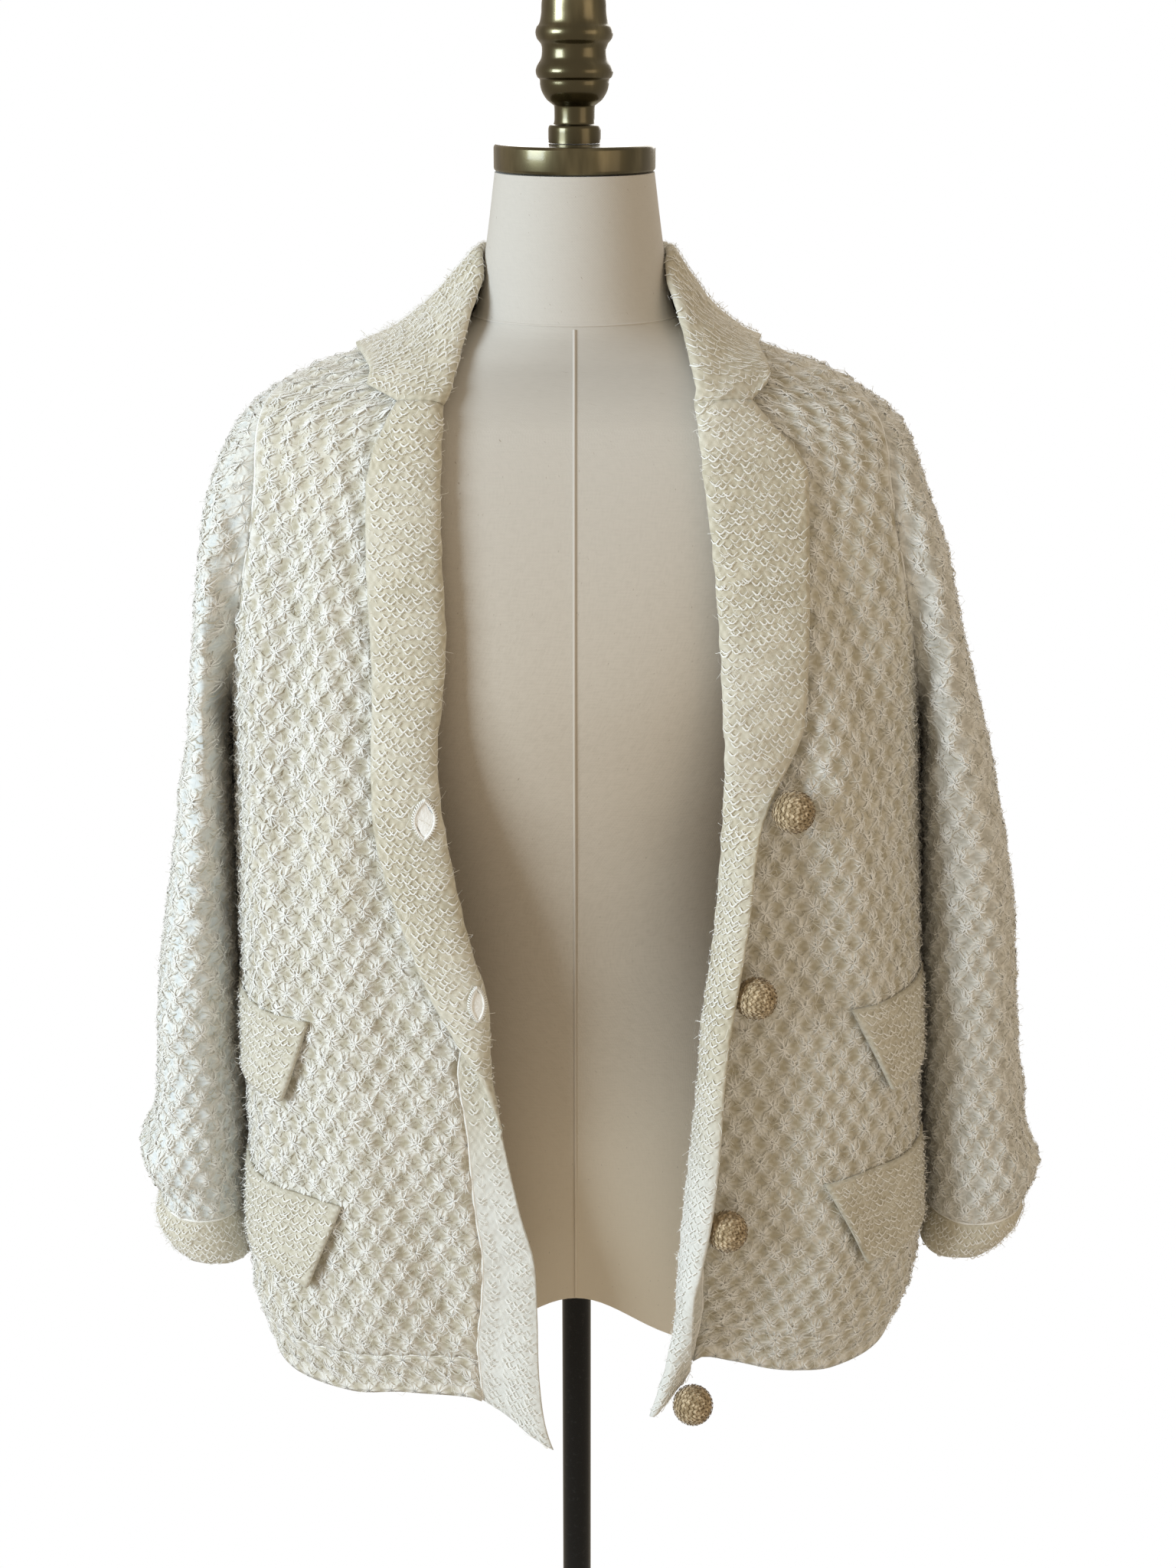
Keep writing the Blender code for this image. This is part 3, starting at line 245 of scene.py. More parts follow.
FRONT_LEFT = table("height fold fold_off free free_off flat", (
    (0.690, 0.0440, 0.024, 0.0715, 0.008, 0.030),
    (0.703, 0.0490, 0.020, 0.0720, 0.010, 0.027),
    (0.716, 0.0560, 0.013, 0.0722, 0.014, 0.022),
    (0.745, 0.0635, 0.006, 0.0726, 0.020, 0.018),
    (0.780, 0.0652, 0.003, 0.0731, 0.026, 0.016),
    (0.810, 0.0668, 0.002, 0.0775, 0.029, 0.015),
    (0.845, 0.0695, 0.002, 0.0825, 0.031, 0.015),
    (0.890, 0.0735, 0.002, 0.0862, 0.031, 0.014),
    (0.930, 0.0768, 0.002, 0.0880, 0.031, 0.011),
    (0.960, 0.0780, 0.002, 0.0905, 0.030, 0.009),
    (1.004, 0.0832, 0.002, 0.0965, 0.028, 0.007),
    (1.040, 0.0864, 0.002, 0.1010, 0.026, 0.006),
    (1.070, 0.0879, 0.003, 0.1040, 0.022, 0.006),
    (1.090, 0.0887, 0.003, 0.1080, 0.017, 0.006),
    (1.110, 0.0894, 0.003, 0.1165, 0.012, 0.006),
    (1.128, 0.0897, 0.003, 0.1270, 0.008, 0.006),
    (1.150, 0.0885, 0.003, 0.1335, 0.0065, 0.006),
    (1.193, 0.0863, 0.003, 0.1345, 0.006, 0.006),
    (1.230, 0.0834, 0.003, 0.1345, 0.006, 0.006),
    (1.260, 0.0803, 0.003, 0.1350, 0.006, 0.006),
    (1.287, 0.0765, 0.003, 0.1350, 0.006, 0.006),
    (1.300, 0.0750, 0.003, 0.1305, 0.006, 0.006),
    (1.318, 0.0728, 0.003, 0.1130, 0.006, 0.006),
    (1.331, 0.0705, 0.003, 0.1015, 0.006, 0.006),
))
FRONTS = {LEFT: FRONT_LEFT, RIGHT: FRONT_RIGHT}
COLLAR_CORNER = {LEFT: (0.1125, 0.009), RIGHT: (0.1210, 0.008)}

# How far the lower edge hangs below the level hem, along the width of the garment.
HEM_DROP = table("across drop", (
    (-0.230, 0.000),
    (-0.185, 0.008),
    (-0.146, 0.008),
    (-0.110, 0.003),
    (-0.070, 0.004),
    (-0.054, 0.011),
    (-0.040, 0.022),
    (-0.026, 0.032),
    (-0.012, 0.033),
    (0.040, 0.008),
    (0.048, 0.005),
    (0.056, -0.004),
    (0.066, -0.014),
    (0.074, -0.020),
    (0.082, -0.024),
    (0.102, -0.018),
    (0.132, -0.0075),
    (0.149, -0.003),
    (0.167, 0.001),
    (0.200, 0.002),
    (0.235, 0.000),
))

# A sleeve from the armhole down: its outer side and that side's height, its inner side and that side's height,
# then half its depth. The last two rows are the cuff.
SLEEVE_RIGHT = table("outer outer_height inner inner_height half_deep", (
    (0.2000, 1.3165, 0.2168, 1.1340, 0.0655),
    (0.2126, 1.2990, 0.2190, 1.1290, 0.0700),
    (0.2235, 1.2730, 0.2200, 1.1190, 0.0735),
    (0.2300, 1.2350, 0.2205, 1.1050, 0.0755),
    (0.2345, 1.1950, 0.2208, 1.0870, 0.0765),
    (0.2400, 1.1500, 0.2212, 1.0640, 0.0760),
    (0.2455, 1.1050, 0.2215, 1.0370, 0.0740),
    (0.2560, 1.0500, 0.2218, 1.0000, 0.0715),
    (0.2640, 1.0050, 0.2220, 0.9630, 0.0690),
    (0.2722, 0.9550, 0.2220, 0.9230, 0.0660),
    (0.2762, 0.9080, 0.2222, 0.8850, 0.0630),
    (0.2808, 0.8620, 0.2222, 0.8480, 0.0600),
    (0.2895, 0.8280, 0.2226, 0.8200, 0.0585),
    (0.2900, 0.8080, 0.2228, 0.8030, 0.0575),
    (0.2815, 0.7860, 0.2225, 0.7820, 0.0555),
    (0.2865, 0.7660, 0.2222, 0.7660, 0.0560),
    (0.2840, 0.7515, 0.2225, 0.7520, 0.0555),
))
SLEEVE_LEFT = table("outer outer_height inner inner_height half_deep", (
    (0.1990, 1.3110, 0.2170, 1.1340, 0.0655),
    (0.2095, 1.2890, 0.2195, 1.1290, 0.0700),
    (0.2200, 1.2600, 0.2205, 1.1190, 0.0735),
    (0.2300, 1.2330, 0.2215, 1.1050, 0.0755),
    (0.2370, 1.2000, 0.2220, 1.0870, 0.0765),
    (0.2505, 1.1500, 0.2230, 1.0640, 0.0760),
    (0.2645, 1.1000, 0.2245, 1.0370, 0.0740),
    (0.2745, 1.0500, 0.2262, 1.0000, 0.0715),
    (0.2840, 1.0040, 0.2282, 0.9620, 0.0695),
    (0.2885, 0.9550, 0.2302, 0.9220, 0.0670),
    (0.2920, 0.9080, 0.2325, 0.8830, 0.0645),
    (0.2980, 0.8620, 0.2345, 0.8460, 0.0615),
    (0.3060, 0.8280, 0.2358, 0.8210, 0.0605),
    (0.3085, 0.8060, 0.2366, 0.8010, 0.0595),
    (0.3060, 0.7830, 0.2372, 0.7810, 0.0575),
    (0.3040, 0.7690, 0.2374, 0.7690, 0.0565),
    (0.2985, 0.7560, 0.2380, 0.7560, 0.0550),
))
SLEEVES = {LEFT: SLEEVE_LEFT, RIGHT: SLEEVE_RIGHT}

# A pocket flap: its top, its height, the angle of its front edge at the top and at the bottom.
FLAPS = {
    "flap_upper_right": (RIGHT, 0.952, 0.056, 122.5, 118.0),
    "flap_lower_right": (RIGHT, 0.831, 0.058, 128.5, 122.5),
    "flap_upper_left": (LEFT, 0.962, 0.059, 122.0, 115.5),
    "flap_lower_left": (LEFT, 0.847, 0.063, 126.5, 118.5),
}


def read(tab, name, at):
    """A column's smooth value where the table's first column has the value at."""
    keys = next(iter(tab.values()))
    values = tab[name]
    rise = np.diff(values) / np.diff(keys)
    slope = np.concatenate([rise[:1], (rise[1:] + rise[:-1]) / 2, rise[-1:]])
    slope[1:-1] = np.where(rise[1:] * rise[:-1] > 0, slope[1:-1], 0.0)
    steepest = 3 * np.minimum(np.abs(np.append(rise, rise[-1])), np.abs(np.append(rise[0], rise)))
    slope = np.clip(slope, -steepest, steepest)
    at = np.clip(np.asarray(at, dtype=float), keys[0], keys[-1])
    k = np.clip(np.searchsorted(keys, at, side="right") - 1, 0, len(keys) - 2)
    wide = keys[k + 1] - keys[k]
    t = (at - keys[k]) / wide
    start = (1 + 2 * t) * (1 - t) ** 2 * values[k] + t * (1 - t) ** 2 * wide * slope[k]
    end = t * t * (3 - 2 * t) * values[k + 1] + t * t * (t - 1) * wide * slope[k + 1]
    return start + end


def readings(tab, names, at):
    """Several columns' values at one place."""
    return [read(tab, name, at) for name in names]


def step(low, high, at):
    """0 below low, 1 above high, smooth between."""
    t = np.clip((at - low) / (high - low), 0, 1)
    return t * t * (3 - 2 * t)


def section_reach(across, deep, square):
    """How far out a rounded section reaches in a direction, given as its shares across and deep."""
    return (np.abs(across) ** square + np.abs(deep) ** square) ** (-1 / square)


def ring_point(side, angle, height, half, front, back, square):
    """A point of a rounded section: angle 0 at the back, 90 at the side and 180 at the front."""
    turn = np.radians(angle)
    deep = np.where(np.cos(turn) > 0, back, front)
    reach = section_reach(np.sin(turn) / half, np.cos(turn) / deep, square)
    x = side * reach * np.sin(turn)
    y = reach * np.cos(turn)
    return np.stack(np.broadcast_arrays(x, y, height), axis=-1).astype(float)


def unit(vectors):
    """The vectors at length 1."""
    return vectors / np.maximum(np.linalg.norm(vectors, axis=-1, keepdims=True), 1e-12)


def moved_out(place, side, angle, height, out):
    """A point of the surface place(side, angle, height), moved out along the surface's own normal."""
    tiny_angle, tiny_height = 0.5, 0.0015
    round_it = place(side, angle + tiny_angle, height) - place(side, angle - tiny_angle, height)
    up_it = place(side, angle, height + tiny_height) - place(side, angle, height - tiny_height)
    normal = unit(np.cross(up_it, round_it) * side)
    return place(side, angle, height) + normal * np.asarray(out)[..., None]


def cloth_face(side, angle, height):
    """The outer face of the cardigan's body, without its hem's droop."""
    word = WORDS[side]
    square = np.where(np.cos(np.radians(angle)) > 0, read(BODY, "square_back", height),
                      read(BODY, f"square_{word}", height))
    return ring_point(side, angle, height, *readings(BODY, (f"half_{word}", "front", "back"), height), square)


def hung(point, height):
    """The point let down by the droop of the hem."""
    fade = (1 - step(HEM_EDGE, HEM_EDGE + DROP_FADE, height)) * step(0.0, 0.07, -point[..., 1])
    point[..., 2] -= read(HEM_DROP, "drop", point[..., 0]) * fade
    return point


def form_face(side, angle, height):
    """The dress form's own sections."""
    return ring_point(side, angle, height, *readings(FORM, ("half", "front", "back", "square"), height))


def angle_of(side, height, value, axis):
    """The angle, from side to front, at which the body's x or depth has the value."""
    angles = np.linspace(SIDE, 180, ANGLE_MARKS)
    face = cloth_face(side, angles, np.full(angles.shape, height))
    if axis == "x":
        return float(np.interp(-value, -np.abs(face[:, 0]), angles))
    return float(np.interp(value, -face[:, 1], angles))


def armhole_depth(height):
    """How far the armhole reaches from the side line at a height."""
    return ARM_DEEP * np.sqrt(np.clip(1 - ((height - ARM_MIDDLE) / ARM_HALF) ** 2, 0, 1))


def armhole_angle(side, height):
    """The angle of the armhole's edge, in front of the side line."""
    return angle_of(side, height, max(armhole_depth(height), SEAM / 2), "depth")


def angle_behind(side, height, depth):
    """The angle, from back to side, at which the body has a depth, which is negative there."""
    angles = np.linspace(0, SIDE, ANGLE_MARKS)
    face = cloth_face(side, angles, np.full(angles.shape, height))
    return float(np.interp(depth, -face[:, 1], angles))


def back_angle(side, height):
    """The angle of the armhole's edge behind the side line, which is as deep."""
    return angle_behind(side, height, -max(armhole_depth(height), SEAM / 2))


def seam_angle(side, height):
    """The angle of the seam between a front and its band, or of the neckline above the gorge."""
    if height > GORGE_TOP:
        return float(read(NECKLINE, "angle", height))
    front = FRONTS[side]
    return angle_of(side, height, float(read(front, "fold", height) + read(front, "flat", height)), "x")


# The soft folds of the body: side, then across and height at the upper end and at the lower end, the half
# width, and how far the cloth stands out there, or in where it is negative. Those of the back are listed apart.
FOLDS_FRONT = (
    (LEFT, 0.128, 1.255, 0.172, 1.010, 0.016, 0.0050),
    (LEFT, 0.172, 1.010, 0.196, 0.900, 0.014, 0.0035),
    (LEFT, 0.152, 1.250, 0.196, 1.080, 0.012, -0.0040),
    (LEFT, 0.120, 1.180, 0.140, 0.960, 0.014, -0.0030),
    (LEFT, 0.150, 0.900, 0.165, 0.760, 0.018, 0.0035),
    (LEFT, 0.120, 0.790, 0.105, 0.710, 0.014, -0.0030),
    (LEFT, 0.195, 0.860, 0.178, 0.730, 0.012, -0.0030),
    (RIGHT, 0.190, 1.200, 0.192, 0.960, 0.012, 0.0045),
    (RIGHT, 0.168, 1.270, 0.170, 1.020, 0.013, -0.0038),
    (RIGHT, 0.146, 1.240, 0.140, 1.000, 0.014, 0.0030),
    (RIGHT, 0.118, 1.060, 0.108, 0.900, 0.013, -0.0028),
    (RIGHT, 0.172, 0.940, 0.176, 0.800, 0.014, -0.0030),
    (RIGHT, 0.140, 0.900, 0.120, 0.740, 0.016, 0.0035),
    (RIGHT, 0.095, 0.830, 0.078, 0.730, 0.013, -0.0030),
)
FOLDS_BACK = (
    (LEFT, 0.060, 1.240, 0.052, 0.900, 0.020, 0.0045),
    (LEFT, 0.110, 1.200, 0.120, 0.820, 0.017, -0.0042),
    (LEFT, 0.165, 1.230, 0.172, 0.950, 0.015, 0.0042),
    (LEFT, 0.140, 0.900, 0.150, 0.740, 0.016, 0.0035),
    (RIGHT, 0.020, 1.200, 0.028, 0.780, 0.020, -0.0042),
    (RIGHT, 0.085, 1.250, 0.098, 0.840, 0.018, 0.0048),
    (RIGHT, 0.140, 1.190, 0.146, 0.900, 0.015, -0.0038),
    (RIGHT, 0.180, 1.150, 0.186, 0.860, 0.013, 0.0040),
    (RIGHT, 0.060, 0.860, 0.052, 0.730, 0.016, 0.0032),
)
FOLD_TAPER = 0.05

# The pushed-up folds of the sleeves: the turn round the arm where each is deepest, 0 outside and 90 in front,
# its height and slope, its half width up and down and round in degrees, and how far it stands out.
FOLDS_SLEEVE = {
    LEFT: (
        (20, 0.812, 0.10, 0.009, 85, 0.0050),
        (35, 0.786, -0.08, 0.006, 70, -0.0035),
        (60, 0.842, 0.14, 0.008, 55, -0.0032),
        (10, 0.868, 0.06, 0.011, 60, 0.0030),
        (80, 0.905, -0.16, 0.010, 50, 0.0028),
        (95, 0.985, 0.20, 0.013, 55, -0.0030),
        (70, 1.055, 0.18, 0.014, 50, 0.0030),
        (120, 1.110, 0.25, 0.012, 45, -0.0028),
        (230, 0.980, 0.18, 0.014, 55, 0.0035),
        (250, 0.880, -0.15, 0.012, 50, -0.0030),
        (215, 1.130, 0.20, 0.014, 50, 0.0030),
    ),
    RIGHT: (
        (15, 0.823, -0.10, 0.008, 80, 0.0045),
        (30, 0.796, 0.12, 0.006, 75, -0.0040),
        (25, 0.772, 0.04, 0.006, 70, 0.0025),
        (65, 0.850, -0.12, 0.009, 60, -0.0030),
        (85, 0.925, 0.15, 0.011, 50, 0.0030),
        (100, 1.010, -0.18, 0.013, 50, -0.0030),
        (60, 1.090, 0.16, 0.014, 50, 0.0030),
        (120, 1.140, 0.22, 0.012, 45, -0.0026),
        (235, 1.000, -0.18, 0.014, 55, 0.0034),
        (255, 0.900, 0.15, 0.012, 50, -0.0030),
    ),
}


def body_folds(side, point):
    """How far the body's folds stand out at points on it."""
    amount = np.zeros(point.shape[:-1])
    x, y, z = np.abs(point[..., 0]), point[..., 1], point[..., 2]
    for folds, facing in ((FOLDS_FRONT, -y), (FOLDS_BACK, y)):
        near = step(-0.01, 0.05, facing)
        for fold_side, x0, z0, x1, z1, wide, high in folds:
            if fold_side != side:
                continue
            along = np.clip((z - z1) / (z0 - z1), 0, 1)
            across = (x - (x1 + (x0 - x1) * along)) / wide
            ends = step(z1 - FOLD_TAPER, z1 + FOLD_TAPER, z) * (1 - step(z0 - FOLD_TAPER, z0 + FOLD_TAPER, z))
            amount = amount + high * np.exp(-across ** 2) * ends * near
    return amount


def sleeve_folds(side, turn, height):
    """How far the sleeve's folds stand out at a turn round the arm, in degrees, and a height."""
    amount = np.zeros(np.broadcast(turn, height).shape)
    for middle, level, slope, tall, round_it, high in FOLDS_SLEEVE[side]:
        aside = (turn - middle + 180) % 360 - 180
        rise = height - level - slope * np.radians(aside) * 0.04
        amount = amount + high * np.exp(-(rise / tall) ** 2) * np.exp(-(aside / round_it) ** 2)
    return amount


def cloth(side, angle, height, out=0.0):
    """A point on the cardigan's body, with its folds, moved out from its outer face."""
    angle, height, out = np.broadcast_arrays(np.asarray(angle, float), np.asarray(height, float), out)
    stand = body_folds(side, cloth_face(side, angle, height))
    point = moved_out(cloth_face, side, angle, height, out + stand)
    return hung(point, height)


def cloth_normal(side, angle, height):
    """The body's outward normal."""
    return (cloth(side, angle, height, 0.001) - cloth(side, angle, height)) / 0.001


def cell_random(row, column, salt):
    """A steady random number from 0 to 1 for a stitch."""
    mixed = np.sin(row * 12.9898 + column * 78.233 + salt * 37.719) * 43758.5453
    return mixed - np.floor(mixed)


def star_shift(row, column):
    """How far a star sits off its place in the pattern, across and down, in shares of a star."""
    return 0.10 * (cell_random(row, column, 1) - 0.5), 0.12 * (cell_random(row, column, 2) - 0.5)


def star_relief(across, down):
    """How far a point of the star knit stands out, by its distance across and down the cloth."""
    row = np.round(down / STAR_HIGH)
    shifted = across / STAR_WIDE - 0.5 * (row % 2)
    column = np.round(shifted)
    aside, lower = star_shift(row, column)
    a, b = shifted - column - aside, down / STAR_HIGH - row - lower
    size = 0.75 + 0.5 * cell_random(row, column, 3)
    return STAR_PUFF * (size * np.exp(-(a / 0.30) ** 2 - (b / 0.36) ** 2) - 0.20)


# The cloth's grid, and the finer one in which a Sheet is read.
CELL = 0.0039
LOOK_STEP = 0.0018


class Sheet:
    """A fine grid of points on a piece of cloth, read by distance across and down it."""

    def __init__(self, points, normals, across, down):
        self.low = across.min()
        self.high = across.max()
        count = int((self.high - self.low) / LOOK_STEP) + 2
        marks = self.low + LOOK_STEP * np.arange(count)
        self.first, self.last, self.down = across[:, 0], across[:, -1], down
        self.points = np.empty((len(down), count, 3))
        self.normals = np.empty((len(down), count, 3))
        for row in range(len(down)):
            for k in range(3):
                self.points[row, :, k] = np.interp(marks, across[row], points[row, :, k])
                self.normals[row, :, k] = np.interp(marks, across[row], normals[row, :, k])

    def inside(self, across, down, margin=0.0):
        """True where a place is on the cloth."""
        first = np.interp(down, self.down, self.first)
        last = np.interp(down, self.down, self.last)
        level = (down >= self.down[0] + margin) & (down <= self.down[-1] - margin)
        return level & (across >= first + margin) & (across <= last - margin)

    def at(self, across, down, lift=0.0):
        """The point and the normal at a place, lifted off the cloth."""
        r = np.interp(down, self.down, np.arange(len(self.down)))
        first = np.interp(down, self.down, self.first)
        last = np.interp(down, self.down, self.last)
        c = (np.clip(across, first, last) - self.low) / LOOK_STEP
        r0 = np.clip(np.floor(r).astype(int), 0, len(self.down) - 2)
        c0 = np.clip(np.floor(c).astype(int), 0, self.points.shape[1] - 2)
        fr, fc = (r - r0)[..., None], (c - c0)[..., None]

        def read_grid(grid):
            upper = grid[r0, c0] * (1 - fc) + grid[r0, c0 + 1] * fc
            lower = grid[r0 + 1, c0] * (1 - fc) + grid[r0 + 1, c0 + 1] * fc
            return upper * (1 - fr) + lower * fr

        normal = unit(read_grid(self.normals))
        return read_grid(self.points) + normal * np.asarray(lift)[..., None], normal


def grid_normals(grid, tube=False):
    """Unit normals of a grid of points, from its rows and columns."""
    down = np.gradient(grid, axis=0)
    if tube:
        along = np.roll(grid, -1, axis=1) - np.roll(grid, 1, axis=1)
    else:
        along = np.gradient(grid, axis=1)
    return unit(np.cross(along, down))


def run_across(grid):
    """The distance run along each row of a grid."""
    legs = np.linalg.norm(np.diff(grid, axis=1), axis=2)
    return np.concatenate([np.zeros((len(grid), 1)), np.cumsum(legs, axis=1)], axis=1)


def run_down(grid):
    """The distance run down a grid, as the mean of its columns."""
    legs = np.linalg.norm(np.diff(grid, axis=0), axis=2).mean(axis=1)
    return np.concatenate([[0], np.cumsum(legs)])


def mesh_object(name, points, faces, finish, charts=None):
    """An object from points and faces, with named charts of a place for each point or each corner of a face."""
    mesh = bpy.data.meshes.new(name)
    mesh.from_pydata(points.tolist(), [], faces.tolist() if hasattr(faces, "tolist") else faces)
    for chart, uvs in (charts or {}).items():
        layer = mesh.uv_layers.new(name=chart)
        if len(uvs) != len(mesh.loops):
            index = np.empty(len(mesh.loops), dtype=np.int32)
            mesh.loops.foreach_get("vertex_index", index)
            uvs = uvs[index]
        layer.data.foreach_set("uv", uvs.astype(np.float32).ravel())
    mesh.shade_smooth()
    mesh.materials.append(finish)
    return placed(name, mesh)


def placed(name, data):
    """An object in the scene."""
    made = bpy.data.objects.new(name, data)
    bpy.context.collection.objects.link(made)
    return made


def grid_faces(rows, columns, tube=True):
    """The faces of a grid of points. A tube's last column is joined to its first."""
    index = np.arange(rows * columns).reshape(rows, columns)
    right = np.roll(index, -1, axis=1)
    if not tube:
        index, right = index[:, :-1], right[:, :-1]
    return np.stack([index[:-1], right[:-1], right[1:], index[1:]], axis=-1).reshape(-1, 4)


def corner_spots(chart):
    """The place in a chart of each corner of a grid's faces."""
    return np.stack([chart[:-1, :-1], chart[:-1, 1:], chart[1:, 1:], chart[1:, :-1]], axis=-2).reshape(-1, 4, 2)


def shell(name, outer, inner, across, down, finish, tube=False):
    """A thin closed shell between two grids, with each point's distance across and down the cloth.

    A tube's last column is joined to its first, and its distances have one column more.
    """
    rows, columns = outer.shape[:2]
    half = rows * columns
    points = np.concatenate([outer.reshape(-1, 3), inner.reshape(-1, 3)])
    down = np.broadcast_to(down if down.ndim == 2 else down[:, None], across.shape)
    front = grid_faces(rows, columns, tube)
    spots = corner_spots(np.stack([across, down], axis=-1))
    faces = [front, front[:, ::-1] + half]
    edges = dict.fromkeys((a, b) for quad in front for a, b in zip(quad, np.roll(quad, -1)))
    rim = [(a, b) for a, b in edges if (b, a) not in edges]
    faces.append(np.array([(b, a, a + half, b + half) for a, b in rim]))
    spot_of = np.zeros((half, 2))
    spot_of[front.ravel()] = spots.reshape(-1, 2)
    rim_spots = np.array([[spot_of[b], spot_of[a], spot_of[a], spot_of[b]] for a, b in rim])
    uvs = np.concatenate([spots, spots[:, ::-1], rim_spots]).reshape(-1, 2)
    made = mesh_object(name, points, np.concatenate(faces), finish, {"cloth": uvs})
    return face_outwards(made)


@contextmanager
def editing(mesh):
    """A mesh open for work on its faces."""
    work = bmesh.new()
    work.from_mesh(mesh)
    yield work
    work.to_mesh(mesh)
    work.free()


def face_outwards(made):
    """Turns a closed mesh's faces outwards, by the sign of its volume."""
    with editing(made.data) as work:
        if work.calc_volume(signed=True) < 0:
            bmesh.ops.reverse_faces(work, faces=work.faces)
    return made


def ribbons(name, paths, facing, wide, finish, spots):
    """Strips of yarn along many paths of equal length, each facing its own way, with places on the cloth."""
    count, steps = paths.shape[:2]
    along = np.gradient(paths, axis=1)
    aside = unit(np.cross(along, facing))
    half = np.broadcast_to(np.asarray(wide) / 2, (count, steps))[..., None]
    rails = np.stack([paths - aside * half, paths + aside * half], axis=2)
    index = np.arange(count * steps * 2).reshape(count, steps, 2)
    quads = np.stack([index[:, :-1, 0], index[:, :-1, 1], index[:, 1:, 1], index[:, 1:, 0]], axis=-1)
    run = np.cumsum(np.linalg.norm(np.diff(paths, axis=1), axis=2), axis=1)
    run = np.concatenate([np.zeros((count, 1)), run], axis=1) + cell_random(np.arange(count), 0.0, 5)[:, None]
    strand = np.stack(np.broadcast_arrays(np.array([0.0, 1.0]), run[..., None]), axis=-1)
    cloth_place = np.broadcast_to(spots[:, :, None], (count, steps, 2, 2))
    return mesh_object(name, rails.reshape(-1, 3), quads.reshape(-1, 4), finish,
                       {"cloth": cloth_place.reshape(-1, 2), "strand": strand.reshape(-1, 2)})


def stitches(sheet, wide, high):
    """The row and the column of each stitch on a sheet."""
    rows = np.arange(np.floor(sheet.down[0] / high), np.ceil(sheet.down[-1] / high) + 1)
    columns = np.arange(np.floor(sheet.low / wide) - 1, np.ceil(sheet.high / wide) + 1)
    return (grid.ravel() for grid in np.meshgrid(rows, columns, indexing="ij"))


def star_yarn(sheet, seed):
    """The threads of the star knit, which spread from the middle of each star."""
    draw = np.random.default_rng(seed)
    row, column = stitches(sheet, STAR_WIDE, STAR_HIGH)
    aside, lower = star_shift(row, column)
    s, t = (column + 0.5 * (row % 2) + aside) * STAR_WIDE, (row + lower) * STAR_HIGH
    keep = sheet.inside(s, t, 0.002)
    s, t = s[keep], t[keep]
    made = []
    shares = SPOKE_SHARES
    for spoke in STAR_SPOKES:
        angle = np.radians(spoke + draw.normal(0, 10, len(s)))
        reach = draw.uniform(0.70, 1.12, len(s))
        far_s = np.sin(angle) * STAR_WIDE * 0.44 * reach
        far_t = -np.cos(angle) * STAR_HIGH * 0.66 * reach
        bow = draw.normal(0, 0.0007, (len(s), 1)) + 0.0008 * np.sign(spoke)
        wave = draw.normal(0, 0.0008, (len(s), 1))
        bend = bow * np.sin(np.pi * shares) + wave * np.sin(2 * np.pi * shares)
        where_s = s[:, None] + far_s[:, None] * shares + np.cos(angle)[:, None] * bend
        where_t = t[:, None] + far_t[:, None] * shares + np.sin(angle)[:, None] * bend
        lift = 0.0003 + 0.0013 * np.sin(np.pi * shares) * draw.uniform(0.3, 1.4, (len(s), 1))
        points, normals = sheet.at(where_s, where_t, lift)
        wide = YARN * draw.uniform(0.65, 1.15, (len(s), 1)) * SPOKE_TAPER
        ok = sheet.inside(where_s[:, -1], where_t[:, -1])
        made.append((points[ok], normals[ok], wide[ok], np.stack([where_s, where_t], axis=-1)[ok]))
    return joined(made)


def joined(parts):
    """Several sets of yarn paths as one, cut down to the least number of steps."""
    steps = min(part[0].shape[1] for part in parts)
    sets = zip(*[[evenly(np.asarray(values), steps) for values in part] for part in parts])
    return tuple(np.concatenate(values) for values in sets)


def loop_yarn(sheet, wide, high, deep, seed, uneven, shift=0.0, lift=0.0009, margin=0.0008):
    """Rows of yarn loops, each row half a loop aside from the next."""
    draw = np.random.default_rng(seed)
    row, column = stitches(sheet, wide, high)
    s = (column + 0.5 * (row % 2)) * wide + draw.normal(0, uneven * wide * 0.6, len(row))
    t = row * high + shift + draw.normal(0, uneven * high, len(row))
    keep = sheet.inside(s, t, margin) & sheet.inside(s + wide, t, margin)
    s, t = s[keep], t[keep]
    shares = LOOP_SHARES
    depth = deep * draw.uniform(0.8, 1.25, (len(s), 1))
    where_s = s[:, None] + wide * (shares + 0.10 * np.sin(2 * np.pi * shares))
    where_t = t[:, None] + depth * np.sin(np.pi * shares) ** 0.8
    points, normals = sheet.at(where_s, where_t, lift * (1 + 0.8 * np.sin(np.pi * shares)))
    thick = YARN * draw.uniform(0.6, 1.1, (len(s), 1)) * LOOP_TAPER
    return points, normals, thick, np.stack([where_s, where_t], axis=-1)


def evenly(points, count):
    """Paths of one length cut down to count points."""
    keep = np.round(np.linspace(0, points.shape[1] - 1, count)).astype(int)
    return points[:, keep]


